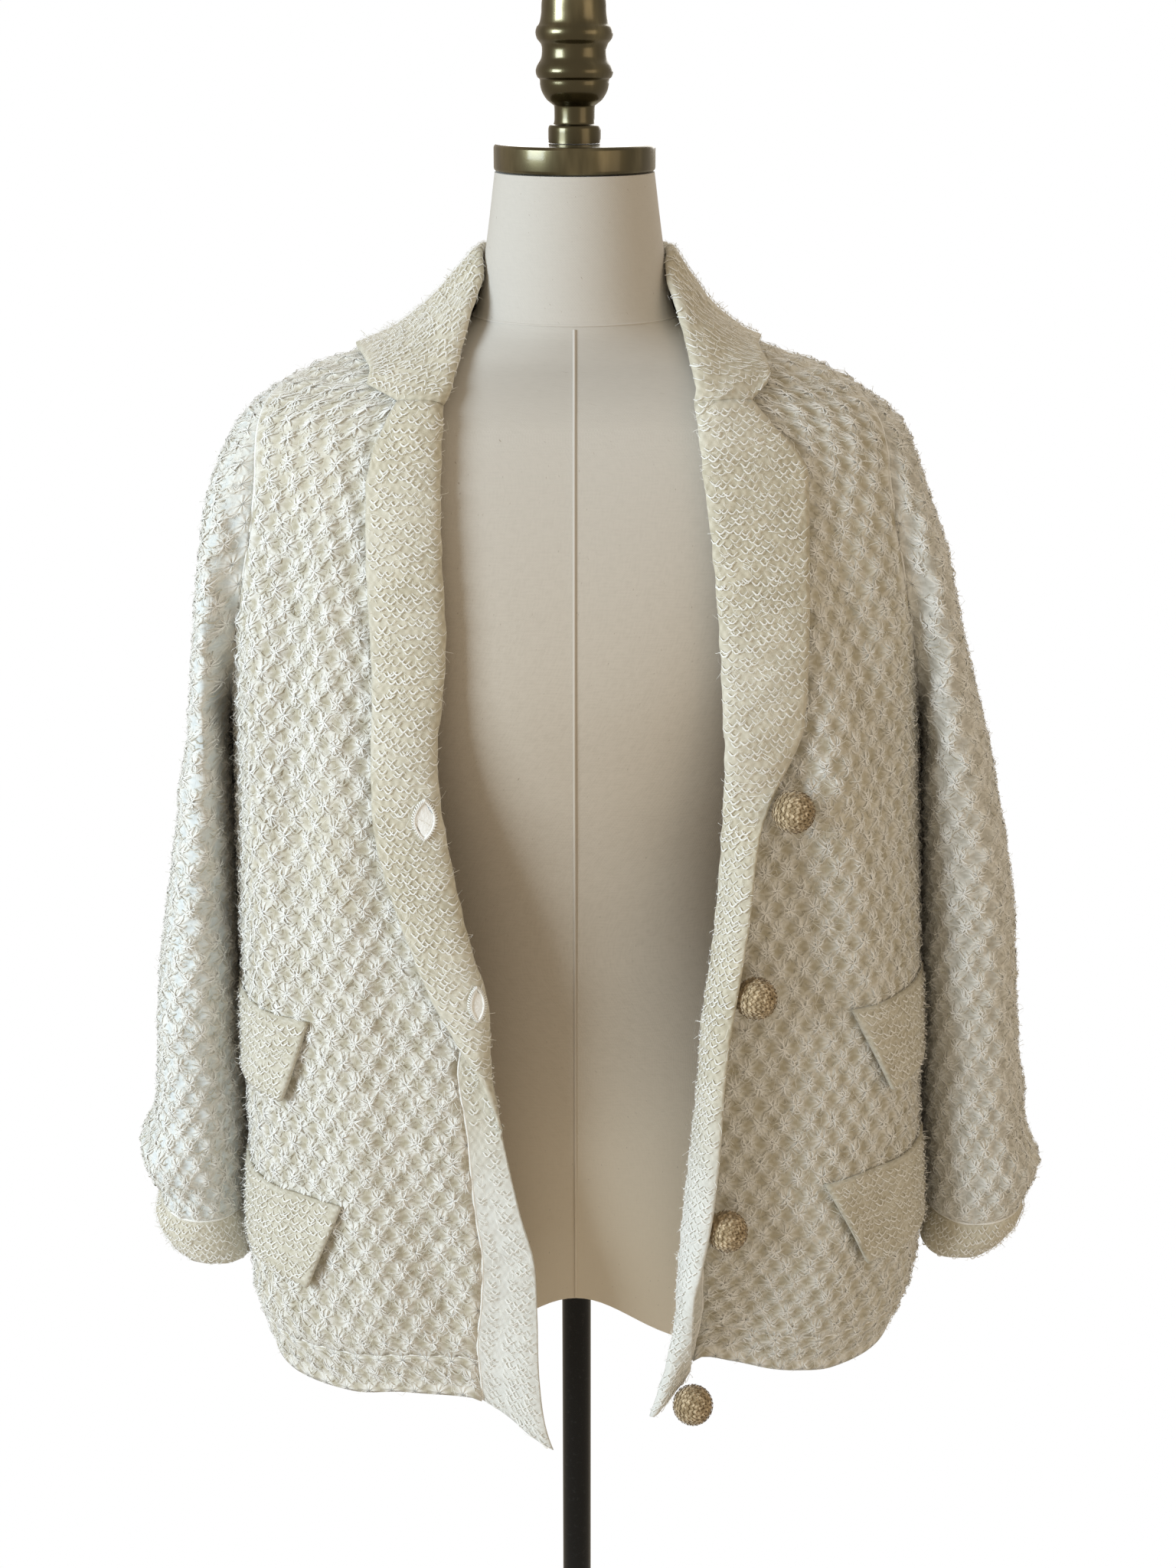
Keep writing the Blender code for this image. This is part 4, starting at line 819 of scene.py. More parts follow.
def hairs(sheet, per_area, seed, longest):
    """Loose mohair hairs that stand off the cloth."""
    draw = np.random.default_rng(seed)
    area = (sheet.high - sheet.low) * (sheet.down[-1] - sheet.down[0])
    count = int(area * per_area)
    s = draw.uniform(sheet.low, sheet.high, count)
    t = draw.uniform(sheet.down[0], sheet.down[-1], count)
    keep = sheet.inside(s, t)
    s, t = s[keep], t[keep]
    count = len(s)
    angle = draw.uniform(0, 2 * np.pi, count)
    size = draw.uniform(0.35, 1.0, count) ** 1.5 * longest
    curl = draw.normal(0, 0.9, count)
    rise = draw.uniform(0.15, 0.55, count)
    points, facing, spots = [], [], []
    for share in HAIR_SHARES:
        way = angle + curl * share
        reach = size * share * 0.9
        where_s, where_t = s + np.cos(way) * reach, t + np.sin(way) * reach
        place, normal = sheet.at(where_s, where_t, 0.0003 + size * rise * np.sin(share * 2.2))
        points.append(place)
        facing.append(normal)
        spots.append(np.stack([where_s, where_t], axis=-1))
    wide = np.broadcast_to(np.array([HAIR_WIDE]), (count, len(HAIR_SHARES)))
    return np.stack(points, axis=1), np.stack(facing, axis=1), wide, np.stack(spots, axis=1)


def spread(side, height, first, last, steps):
    """Angles from first to last, closer together where the section is rounder."""
    half, deep = (float(value) for value in readings(BODY, (f"half_{WORDS[side]}", "front"), height))

    def squashed(angle):
        return np.arctan2(np.sin(np.radians(angle)) * deep, np.cos(np.radians(angle)) * half)

    turns = np.linspace(squashed(first), squashed(last), steps + 1)
    return np.degrees(np.arctan2(np.sin(turns) * half, np.cos(turns) * deep))


def seam_turn(height, wide):
    """The angle round the body that a small width takes up at a height."""
    return np.degrees(wide / read(BODY, "front", height))


def bezier(a, b, c, d, count):
    """Points along a cubic curve."""
    t = np.linspace(0, 1, count)[:, None]
    return (1 - t) ** 3 * a + 3 * t * (1 - t) ** 2 * b + 3 * t * t * (1 - t) * c + t ** 3 * d


def length(path):
    """The distance run at each point of a path."""
    return np.concatenate([[0], np.cumsum(np.linalg.norm(np.diff(path, axis=0), axis=1))])


def sampled(path, at):
    """The path read at the given distances."""
    run = length(path)
    return np.stack([np.interp(at, run, path[:, k]) for k in range(3)], axis=1)


def matched(normals, like):
    """The normals, each turned to the side that the other one is on."""
    return normals * np.where(np.sum(normals * like, axis=-1, keepdims=True) < 0, -1.0, 1.0)


def radial(side, angle, radius, height):
    """A point at an angle and radius round the neck."""
    turn = np.radians(angle)
    return np.array([side * radius * np.sin(turn), radius * np.cos(turn), height])


def rounded(radius, low, high, edge, steps=3):
    """A disc's profile with rounded edges, top to bottom."""
    turns = [np.pi / 2 * k / steps for k in range(steps + 1)]
    upper = [(radius - edge + edge * np.sin(t), high - edge + edge * np.cos(t)) for t in turns]
    lower = [(radius - edge + edge * np.cos(t), low + edge - edge * np.sin(t)) for t in turns]
    return upper + lower


def arch(x):
    """The height of the form's lower edge: highest at the middle, over the pole."""
    return LOBE_LOW + (ARCH_TOP - LOBE_LOW) * np.exp(-((x / ARCH_WIDE) ** 2))


def finial_profile(low):
    """The turned finial, top to bottom: a dome, two beads with a waist between, a bowl, a neck and a foot."""
    shape = [
        (0.006, 0.0900), (0.0125, 0.0885), (0.0165, 0.0860), (0.0185, 0.0825), (0.0192, 0.0790),
        (0.0195, 0.0730), (0.0205, 0.0680), (0.0222, 0.0655), (0.0229, 0.0625), (0.0220, 0.0590),
        (0.0197, 0.0560), (0.0191, 0.0527), (0.0197, 0.0480), (0.0220, 0.0440), (0.0229, 0.0407),
        (0.0220, 0.0375), (0.0205, 0.0360), (0.0203, 0.0330), (0.0192, 0.0290), (0.0165, 0.0247),
        (0.0132, 0.0220), (0.0120, 0.0205), (0.0119, 0.0150), (0.0124, 0.0110), (0.0148, 0.0100),
        (0.0156, 0.0070), (0.0156, 0.0000),
    ]
    return [(radius, low + z) for radius, z in shape]


HEIGHT_MARKS = 700
FALL_MARKS = 900


def heights_evenly(side, angle, high, low, cell=CELL):
    """Heights from high to low, evenly spaced along the cloth at an angle."""
    heights = np.linspace(high, low, HEIGHT_MARKS)
    path = cloth_face(side, np.full(HEIGHT_MARKS, float(angle)), heights)
    run = length(path)
    return np.interp(np.linspace(0, run[-1], max(int(run[-1] / cell), 3) + 1), run, heights)


def soften(amount, across, reach=0.004):
    """The relief, faded out towards the cloth's side edges."""
    near = np.minimum(across - across[:, :1], across[:, -1:] - across)
    return amount * np.clip(near / reach, 0, 1)


UNEVEN_HIGH = 0.00028


def uneven(across, down, salt=0.0):
    """The soft unevenness of plain knitting."""
    wave = np.sin(across * 410 + salt) * np.sin(down * 370 + 1.7 * salt)
    return UNEVEN_HIGH * (wave + np.sin(across * 205 + down * 260 + salt))


def lay(name, outer, inner, finish, node, relief, chart, tube=False):
    """Makes one shell of cloth over its solid, and gives the sheet that its yarn lies on.

    The chart is each point's distance across and down the cloth; a tube's has one column more.
    """
    across, down = chart
    normals = unit(outer - inner)
    amount = relief(across, down)
    if tube:
        amount = amount[:, :-1]
    else:
        amount = soften(amount, across)
    puffed = outer + normals * amount[..., None]
    made = shell(name, puffed, inner, across, down, finish, tube)
    sheet_for(made, node)
    if tube:
        return level_sheet(puffed, normals, across, down)
    return Sheet(puffed, normals, across, down[:, 0])


def level_sheet(points, normals, across, down):
    """The sheet of a sleeve, read again in level rows, because its own rings slant."""
    points = np.concatenate([points, points[:, :1]], axis=1)
    normals = np.concatenate([normals, normals[:, :1]], axis=1)
    levels = np.linspace(down.min(), down.max(), len(down) + 30)
    columns = points.shape[1]
    made = np.empty((len(levels), columns, 7))
    for c in range(columns):
        for k in range(3):
            made[:, c, k] = np.interp(levels, down[:, c], points[:, c, k])
            made[:, c, 3 + k] = np.interp(levels, down[:, c], normals[:, c, k])
        made[:, c, 6] = np.interp(levels, down[:, c], across[:, c])
    kept = []
    for row, level in enumerate(levels):
        on = np.flatnonzero((down[0] <= level + 1e-9) & (down[-1] >= level - 1e-9))
        if len(on) > 3:
            near = np.clip(np.arange(columns), on[0], on[-1])
            made[row] = made[row, near]
            kept.append(row)
    made = made[kept]
    return Sheet(made[..., :3], made[..., 3:6], made[..., 6], levels[kept])


def dress(piece, slot_of=None, slot=None):
    """Makes a piece ride with the part, and looks up the slot of its solid when none is given."""
    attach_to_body(piece, BODY_NAME)
    if slot is None:
        slot = next(s["material_slot"] for s in frame["record"]["subparts"] if s["node"] == slot_of)
    return piece


def stands_for(made, node):
    """Puts a piece in the place of its solid."""
    dress(made, node)
    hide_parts(node)
    return made


def sheet_for(made, node):
    """Puts a sheet of cloth in the place of its solid."""
    stands_for(made, node)


def sewn(name, parts, finish, slot, wider=1.0):
    """One piece of yarn from several sets of paths."""
    paths, facing, wides, spots = joined(parts)
    return dress(ribbons(name, paths, facing, wides * wider, finish, spots), slot=slot)


def panel(side, heights, start, end, columns, out=0.0):
    """Rows of points on the body between two angles that may change with height, and the same a wall deeper."""
    angles = np.array([spread(side, h, start(h), end(h), columns) for h in heights])
    level = np.broadcast_to(np.asarray(heights)[:, None], angles.shape)
    return cloth(side, angles, level, out), cloth(side, angles, level, -CLOTH + out)


# The angles at which the rows of the fronts, the back and the bands are spaced.
FRONT_LINE = 115.0
BACK_LINE = 30.0
BAND_LINE = 160
FRONT_COLUMNS = 48
BACK_COLUMNS = 62
BACK_CELL = 0.0040
EDGE_MARKS = 40
HEM_ROWS = 10
HEM_ROLL = 0.0022
CUFF_ROLL = 0.0012


def fall(side, angle, heights):
    """The distance down the cloth from the neck to each height."""
    marks = np.linspace(NECK_HEIGHT, HEM_EDGE, FALL_MARKS)
    run = length(cloth_face(side, np.full(FALL_MARKS, angle), marks))
    return np.interp(-np.asarray(heights), -marks, run)


def front_chart(side, outer, heights):
    """The distances across a front, from the side line, and down it."""
    starts = []
    for height in heights:
        angles = np.linspace(SIDE, armhole_angle(side, height), EDGE_MARKS)
        starts.append(length(cloth_face(side, angles, np.full(EDGE_MARKS, float(height))))[-1])
    across = run_across(outer) + np.array(starts)[:, None]
    return across, np.broadcast_to(fall(side, FRONT_LINE, heights)[:, None], across.shape)


def front_rows(side, heights, out=0.0):
    """Rows of a front from the armhole or the side seam to the seam with its band."""
    return panel(side, heights, lambda h: armhole_angle(side, h), lambda h: seam_angle(side, h),
                 FRONT_COLUMNS, out)


def front_panel(side, knit):
    """One of the two fronts."""
    word = WORDS[side]
    heights = heights_evenly(side, FRONT_LINE, NECK_HEIGHT, HEM_TOP + SEAM)
    outer, inner = front_rows(side, heights)
    return lay(f"cloth_front_{word}", outer, inner, knit, f"front_{word}", star_relief,
               front_chart(side, outer, heights))


def back_rows(heights, out=0.0):
    """Rows of the back from side seam to side seam."""
    halves = {}
    for side in (LEFT, RIGHT):
        halves[side] = panel(side, heights, lambda h: 0.0, lambda h, s=side: back_angle(s, h),
                             BACK_COLUMNS, out)
    return tuple(np.concatenate([right[:, ::-1], left[:, 1:]], axis=1)
                 for right, left in zip(halves[RIGHT], halves[LEFT]))


def back_chart(outer, heights):
    """The distances across the back, from its middle, and down it."""
    across = run_across(outer)
    across = across - across[:, across.shape[1] // 2][:, None]
    return across, np.broadcast_to(fall(LEFT, BACK_LINE, heights)[:, None], across.shape)


def back_panel(knit):
    """The back, in one piece."""
    heights = heights_evenly(LEFT, BACK_LINE, NECK_HEIGHT, HEM_TOP + SEAM, BACK_CELL)
    outer, inner = back_rows(heights)
    return lay("cloth_back", outer, inner, knit, "back", star_relief, back_chart(outer, heights))


def hem_relief(across, down):
    """The stars run on into the hem band, and fade out above its plain lower edge."""
    return star_relief(across, down) * step(0.0, 0.010, down.max() - down - 0.008)


def hem_band(word, knit):
    """A stretch of the hem band, its lower edge rolled a little outwards."""
    heights = np.linspace(HEM_TOP, HEM_EDGE, HEM_ROWS)
    roll = HEM_ROLL * step(0.010, 0.0, heights - HEM_EDGE)[:, None]
    if word == "back":
        outer, inner = back_rows(heights, roll)
        chart = back_chart(outer, heights)
    else:
        side = LEFT if word == "left" else RIGHT
        outer, inner = front_rows(side, heights, roll)
        chart = front_chart(side, outer, heights)
    seam_cord(f"hem_{word}", outer[0] + (inner[0] - outer[0]) * 0.3)
    return lay(f"cloth_hem_{word}", outer, inner, knit, f"hem_{word}", hem_relief, chart)


GORGE = ARM_MIDDLE + ARM_HALF * np.cos(np.pi / 10)
UNDER = (0.0, 0.5, 0.84, 1.0)
BAND_ROLL = 0.0075
BAND_CROWN = 0.006
BAND_HUG = 0.35
COLLAR_ROLL = 0.007
COLLAR_HUG = 0.5
BAND_OVER = (0.0, 0.07, 0.17, 0.33, 0.55, 0.78, 1.0)
COLLAR_OVER = (0.0, 0.05, 0.12, 0.22, 0.36, 0.52, 0.68, 0.84, 1.0)
COLLAR_ROWS = 34
FINE = 4
UNDER_FINE = np.interp(np.linspace(0, 3, 3 * FINE + 1), np.arange(4), UNDER)
BAND_FINE = np.interp(np.linspace(0, 6, 6 * FINE + 1), np.arange(7), BAND_OVER)
COLLAR_FINE = np.interp(np.linspace(0, 8, 8 * FINE + 1), np.arange(9), COLLAR_OVER)
FOLD_COLUMN = 3 * FINE
UNDER_STEPS = 57
OVER_STEPS = 81
UNTURNED = 0.0015
WIDE_TURN = 0.014


def fold_over(attach, fold, free, facing, normal, roll, crown, hug, over_shares):
    """The middle of a strip of cloth that goes from its seam to a fold, and back over to its free edge."""
    turned = np.linalg.norm(free - fold)
    reach = np.linalg.norm(fold - attach)
    flat = fold - attach - normal[0] * np.dot(fold - attach, normal[0])
    count = len(UNDER_FINE) + len(over_shares) - 1
    if turned < UNTURNED:
        under = bezier(attach, attach + flat * 0.4, fold - flat * 0.3, fold, UNDER_STEPS)
        return sampled(under, np.linspace(0, length(under)[-1], count))
    tight = max(min(1.0, turned / WIDE_TURN), 0.45)
    turn_in = fold - facing * min(0.004, 0.4 * reach) * tight
    under = bezier(attach, attach + flat * 0.4, turn_in, fold, UNDER_STEPS)
    over = free - fold
    along = over - normal[1] * np.dot(over, normal[1])
    along = along / max(np.linalg.norm(along), 0.4 * turned)
    over_path = bezier(fold, fold + facing * roll * tight,
                       free - along * turned * hug + normal[1] * crown * tight, free, OVER_STEPS)
    path = np.concatenate([under, over_path[1:]])
    near, far = length(under)[-1], length(over_path)[-1]
    set_out = np.concatenate([UNDER_FINE * near, near + over_shares[1:] * far])
    level = np.linspace(0, near + far, count)
    return sampled(path, level + (set_out - level) * step(0.001, 0.016, turned))


def band_row(side, height):
    """One level row of a front band, from its seam over the fold to the free edge."""
    front = FRONTS[side]
    fold_angle = angle_of(side, height, float(read(front, "fold", height)), "x")
    free_angle = angle_of(side, height, float(read(front, "free", height)), "x")
    start = seam_angle(side, min(height, GORGE)) + seam_turn(height, SEAM)
    off = float(read(front, "free_off", height))
    attach = cloth(side, start, height, -CLOTH / 2)
    fold = cloth(side, fold_angle, height, float(read(front, "fold_off", height)))
    free = cloth(side, free_angle, height, off)
    face = cloth_normal(side, fold_angle, height)
    crown = BAND_CROWN * (1 - step(0.007, 0.016, off))
    return fold_over(attach, fold, free, face, (cloth_normal(side, start, height), face), BAND_ROLL, crown,
                     BAND_HUG, BAND_FINE)


def band_sheet(side, heights):
    """A front band's middle points and normals, row by row."""
    middle = np.array([band_row(side, height) for height in heights])
    normals = grid_normals(middle)
    at_seam = np.array([cloth_normal(side, seam_angle(side, min(h, GORGE)), h) for h in heights])
    normals[:, 0] = matched(at_seam, normals[:, 0])
    flip = np.sign(np.sum(normals[:, 0] * at_seam, axis=-1)).mean()
    return middle, normals * (1 if flip >= 0 else -1)


def band(side, knit):
    """A front band with its lapel. Gives the sheets of its outer face, its turned face and its flat foot."""
    word = WORDS[side]
    middle, normals = band_sheet(side, heights_evenly(side, BAND_LINE, GORGE, HEM_EDGE))
    middle[0, :, 2] -= SEAM / 2
    outer, inner = middle + normals * CLOTH / 2, middle - normals * CLOTH / 2
    down, across = run_down(middle), run_across(middle)
    salt = 0.0 if side == LEFT else 2.0
    outer += normals * uneven(across, down[:, None], salt)[..., None]
    inner -= normals * uneven(across, down[:, None], salt + 1)[..., None]
    made = shell(f"cloth_band_{word}", outer, inner, across, down, knit)
    sheet_for(made, f"band_{word}")
    seen, back_from = FOLD_COLUMN + 2, FOLD_COLUMN - 2
    outside = Sheet(outer[:, :seen], normals[:, :seen], across[:, :seen], down)
    turned_part = Sheet(inner[:, back_from:], -normals[:, back_from:], across[:, back_from:], down)
    seam_cord(f"band_{word}", outer[:, 0] - normals[:, 0] * SEAM_SUNK)
    turned = np.flatnonzero(normals[:, FOLD_COLUMN:, 1].mean(axis=1) > -0.3)
    foot = slice(turned.max() + 1, None)
    if turned.max() > len(down) - 8:
        return [outside, turned_part]
    flat = Sheet(outer[foot, seen - 1:], normals[foot, seen - 1:], across[foot, seen - 1:], down[foot])
    return [outside, turned_part, flat]


# The buttonholes of the right band: across, height, half width, half height, lean, and whether it is open.
BUTTONHOLES = (
    (-0.0885, 1.095, 0.0058, 0.0108, 0.14, True),
    (-0.0590, 0.977, 0.0036, 0.0095, 0.30, True),
    (-0.0480, 0.826, 0.0016, 0.0070, 0.25, False),
    (-0.0365, 0.700, 0.0016, 0.0065, 0.20, False),
)


HOLE_STEPS = 32
OVERCAST_STEPS = 44
OVERCAST_REACH = 0.0026
OVERCAST_SHARES = np.array([[0.0, 0.35, 0.7, 1.0]])
OVERCAST_LIFT = np.array([0.0010, 0.0023, 0.0020, 0.0006])
OVERCAST_YARN = 0.0009
RIM_RADIUS = 0.0008
RIM_LIFT = 0.0014
PATCH_RINGS = 6
PATCH_LIFT = 0.0011
HOLE_ROOM = 0.0006


def hole_edge(wide, high, steps):
    """The pointed oval of a buttonhole, as distances across and down from its middle, and the turn of each."""
    turn = np.linspace(0, 2 * np.pi, steps + 1)[:-1]
    return 0.85 * wide * np.cos(turn) * np.abs(np.cos(turn)) ** 0.7, high * np.sin(turn), turn


def hole_patch(name, points, uvs, look):
    """The bright cloth seen through an open buttonhole, from rings of points that close in the middle."""
    rings, steps = points.shape[:2]
    faces = grid_faces(rings, steps)[steps:, [0, 3, 2, 1]]
    patch = mesh_object(name, points.reshape(-1, 3), faces, look, {"cloth": uvs})
    with editing(patch.data) as work:
        bmesh.ops.holes_fill(work, edges=[e for e in work.edges if e.is_boundary], sides=steps)
        bmesh.ops.recalc_face_normals(work, faces=work.faces)
        if sum(f.normal.y for f in work.faces) > 0:
            bmesh.ops.reverse_faces(work, faces=work.faces)
    dress(patch, slot="plain_knit")


def buttonholes(sheet, look, rim_look):
    """Works the right band's buttonholes: an overcast rim, with the cloth behind showing in an open one."""
    for number, (x, z, wide, high, lean, is_open) in enumerate(BUTTONHOLES, 1):
        gap = (sheet.points[..., 0] - x) ** 2 + (sheet.points[..., 2] - z) ** 2
        row, column = np.unravel_index(np.argmin(gap), gap.shape)
        s0, t0 = sheet.low + LOOK_STEP * column, sheet.down[row]
        s, t, _ = hole_edge(wide, high, HOLE_STEPS)
        s = s + lean * t
        if is_open:
            shares = np.linspace(0, 1, PATCH_RINGS)[:, None]
            lift = np.full((PATCH_RINGS, HOLE_STEPS), PATCH_LIFT)
            points, _ = sheet.at(s0 + s * shares * 1.1, t0 + t * shares * 1.06, lift)
            uvs = np.stack([s * shares, t * shares], axis=-1).reshape(-1, 2)
            hole_patch(f"buttonhole_{number}", points, uvs, look)
        rim, _ = sheet.at(s0 + s * 1.12, t0 + t * 1.08, np.full(HOLE_STEPS, RIM_LIFT))
        tube_along(f"buttonhole_rim_{number}", rim, RIM_RADIUS, rim_look, "plain_knit", closed=True)
        s, t, turn = hole_edge(wide, high, OVERCAST_STEPS)
        inner = np.stack([s, t])
        outer = inner + np.stack([np.cos(turn), np.sin(turn)]) * OVERCAST_REACH
        where = inner[..., None] * (1 - OVERCAST_SHARES) + outer[..., None] * OVERCAST_SHARES
        lift = np.broadcast_to(OVERCAST_LIFT, where[0].shape)
        points, facing = sheet.at(s0 + where[0] + lean * where[1], t0 + where[1], lift)
        wides = np.full(where[0].shape, OVERCAST_YARN)
        dress(ribbons(f"overcast_{number}", points, facing, wides, rim_look, np.moveaxis(where, 0, -1)),
              slot="plain_knit")


def clear_of_holes(parts):
    """Yarn paths without those that would cross an open buttonhole."""
    kept = []
    for part in parts:
        paths = part[0]
        keep = np.ones(len(paths), dtype=bool)
        for x, z, half, high, lean, is_open in BUTTONHOLES:
            if is_open:
                rise = paths[..., 2] - z
                aside = paths[..., 0] - x + lean * rise
                away = (aside / (half + HOLE_ROOM)) ** 2 + (rise / (high + HOLE_ROOM)) ** 2
                keep &= (away > 1).all(axis=1)
        kept.append(tuple(values[keep] for values in part))
    return kept


def collar_row(side, seam, seam_height):
    """One row of the collar, from the neck seam up over the roll and down to its outer edge."""
    attach = cloth(side, seam, seam_height, -CLOTH / 2)
    at_seam = cloth_normal(side, seam, seam_height)
    fold = radial(side, *readings(COLLAR, ("roll_angle", "roll_radius", "roll_height"), seam))
    flat = fold - attach - at_seam * np.dot(fold - attach, at_seam)
    attach = attach + flat / np.linalg.norm(flat) * SEAM
    free_angle, free_height = (float(v) for v in readings(COLLAR, ("free_angle", f"free_{WORDS[side]}"), seam))
    free = cloth(side, free_angle, free_height, COLLAR_OFF)
    normal = cloth_normal(side, free_angle, free_height)
    facing = radial(side, float(read(COLLAR, "facing", seam)), 1.0, 0.0)
    return fold_over(attach, fold, free, facing, (at_seam, normal), COLLAR_ROLL, 0.0, COLLAR_HUG,
                     COLLAR_FINE)


def collar_end(side):
    """The collar's last row, which meets the lapel along the gorge and runs on to the collar's corner."""
    row = band_row(side, GORGE)
    row[:, 2] += SEAM / 2
    across, rise = COLLAR_CORNER[side]
    corner_angle = angle_of(side, GORGE + rise, across, "x")
    corner = cloth(side, corner_angle, GORGE + rise, COLLAR_OFF)
    more = np.linspace(0, 1, 2 * FINE + 1)[1:, None]
    return np.concatenate([row, row[-1] + (corner - row[-1]) * more])


def collar(knit):
    """The notched collar, from gorge to gorge round the back of the neck."""
    last = float(read(NECKLINE, "angle", NECK_HEIGHT))
    steps = [(a, NECK_HEIGHT) for a in np.linspace(0, last, COLLAR_ROWS)]
    steps += [(float(read(NECKLINE, "angle", h)), h)
              for h in np.linspace(NECK_HEIGHT, ARM_TOP, COLLAR_ROWS)[1:]]
    rows = {}
    for side in (LEFT, RIGHT):
        made = [collar_row(side, *at) for at in steps]
        end = collar_end(side)
        blend = [made[-1] + (end - made[-1]) * share for share in np.linspace(0, 1, 6)[1:]]
        rows[side] = made + blend
    middle = np.array(rows[RIGHT][::-1] + rows[LEFT][1:])
    normals = grid_normals(middle)
    if normals[len(middle) // 2, 0, 1] < 0:
        normals = -normals
    down, across = run_down(middle), run_across(middle)
    outer, inner = middle + normals * CLOTH / 2, middle - normals * CLOTH / 2
    inner -= normals * uneven(across, down[:, None], 4.0)[..., None]
    sheet_for(shell("cloth_collar", outer, inner, across, down, knit), "collar")
    first = FOLD_COLUMN - 3
    return Sheet(inner[:, first:], -normals[:, first:], across[:, first:], down)


SLEEVE_COLUMNS = 92
SLEEVE_ROUND = 22 * STAR_WIDE
SLEEVE_HALF = (0.036, 0.068)
SLEEVE_FALL = ((0.70, 0.670), (1.255, 0.092), (1.295, 0.046), (1.318, 0.012), (ARM_TOP, -0.03))
# The sleeve's crown, above its first ring: heights with the outer side at each, and the inner side.
CROWN_HEIGHTS = (1.262, 1.300, ARM_TOP)
CROWN_OUTER = (0.225, 0.195, 0.125)
CROWN_INNER = 0.130
SLEEVE_GRID = 150
CUFF_GRID = 10
DENSE = 400


def sleeve_chart(side, points):
    """The distances round a sleeve, from its outer side, and down it, for rings that slant."""
    tab = SLEEVES[side]
    heights = np.concatenate([tab["outer_height"][::-1], CROWN_HEIGHTS])
    outer = np.concatenate([tab["outer"][::-1], CROWN_OUTER])
    level = points[..., 2]
    inner = np.interp(level, tab["inner_height"][::-1], tab["inner"][::-1])
    middle = (np.interp(level, heights, outer) + inner * step(1.30, 1.10, level)
              + CROWN_INNER * step(1.10, 1.30, level)) / 2
    turn = np.unwrap(np.arctan2(SLEEVE_BACK - points[..., 1], side * points[..., 0] - middle), axis=1)
    turn = turn - 2 * np.pi * np.round((turn[:, :1] + np.pi) / (2 * np.pi))
    marks = np.linspace(-1.5 * np.pi, 1.5 * np.pi, 721)
    reach = section_reach(np.cos(marks) / SLEEVE_HALF[0], np.sin(marks) / SLEEVE_HALF[1], SLEEVE_SQUARE)
    path = np.stack([reach * np.cos(marks), reach * np.sin(marks), 0 * marks], axis=1)
    run = length(path)
    run = run - np.interp(0.0, marks, run)
    whole = np.interp(np.pi, marks, run) * 2
    across = np.interp(turn, marks, run) / whole * SLEEVE_ROUND
    return across, np.interp(level, *np.array(SLEEVE_FALL).T)


def sleeve_turns():
    """The turns round the sleeve, from the inside under the arm, over the front, back to the inside."""
    return np.pi + 2 * np.pi * np.arange(SLEEVE_COLUMNS) / SLEEVE_COLUMNS


def armhole_ring(side):
    """The armhole's edge, just inside the hole."""
    ring = []
    for turn in sleeve_turns():
        height = ARM_MIDDLE + (ARM_HALF - SEAM) * np.cos(turn)
        deep = (ARM_DEEP - SEAM) * np.sin(turn)
        angle = angle_of(side, height, deep, "depth") if deep >= 0 else angle_behind(side, height, deep)
        ring.append(cloth(side, angle, height))
    return np.array(ring)


def sleeve_ring(side, row):
    """A ring of the sleeve, in the same order as the armhole's edge."""
    tab = SLEEVES[side]
    outer = np.array([tab["outer"][row] * side, SLEEVE_BACK, tab["outer_height"][row]])
    inner = np.array([tab["inner"][row] * side, SLEEVE_BACK, tab["inner_height"][row]])
    middle, reach = (outer + inner) / 2, (outer - inner) / 2
    turn = sleeve_turns()
    size = section_reach(np.cos(turn), np.sin(turn), SLEEVE_SQUARE)
    out_way = (size * np.cos(turn))[:, None] * reach
    lean = CUFF_LEAN * step(CUFF_TOP, tab["outer_height"][-1], tab["outer_height"][row])
    deep_way = (size * np.sin(turn))[:, None] * np.array([-side * lean, -tab["half_deep"][row], 0])
    return middle + out_way + deep_way


def smooth_rows(grid, rows, count):
    """A grid read smoothly between its rows, at even distances from one row number to another."""
    marks = np.linspace(*rows, DENSE)
    keys = np.arange(len(grid), dtype=float)
    dense = np.empty((DENSE, *grid.shape[1:]))
    for c in range(grid.shape[1]):
        for k in range(3):
            dense[:, c, k] = read({"key": keys, "value": grid[:, c, k]}, "value", marks)
    run = run_down(dense)
    at = np.interp(np.linspace(0, run[-1], count), run, np.arange(DENSE))
    low = np.clip(at.astype(int), 0, DENSE - 2)
    share = (at - low)[:, None, None]
    return dense[low] * (1 - share) + dense[low + 1] * share


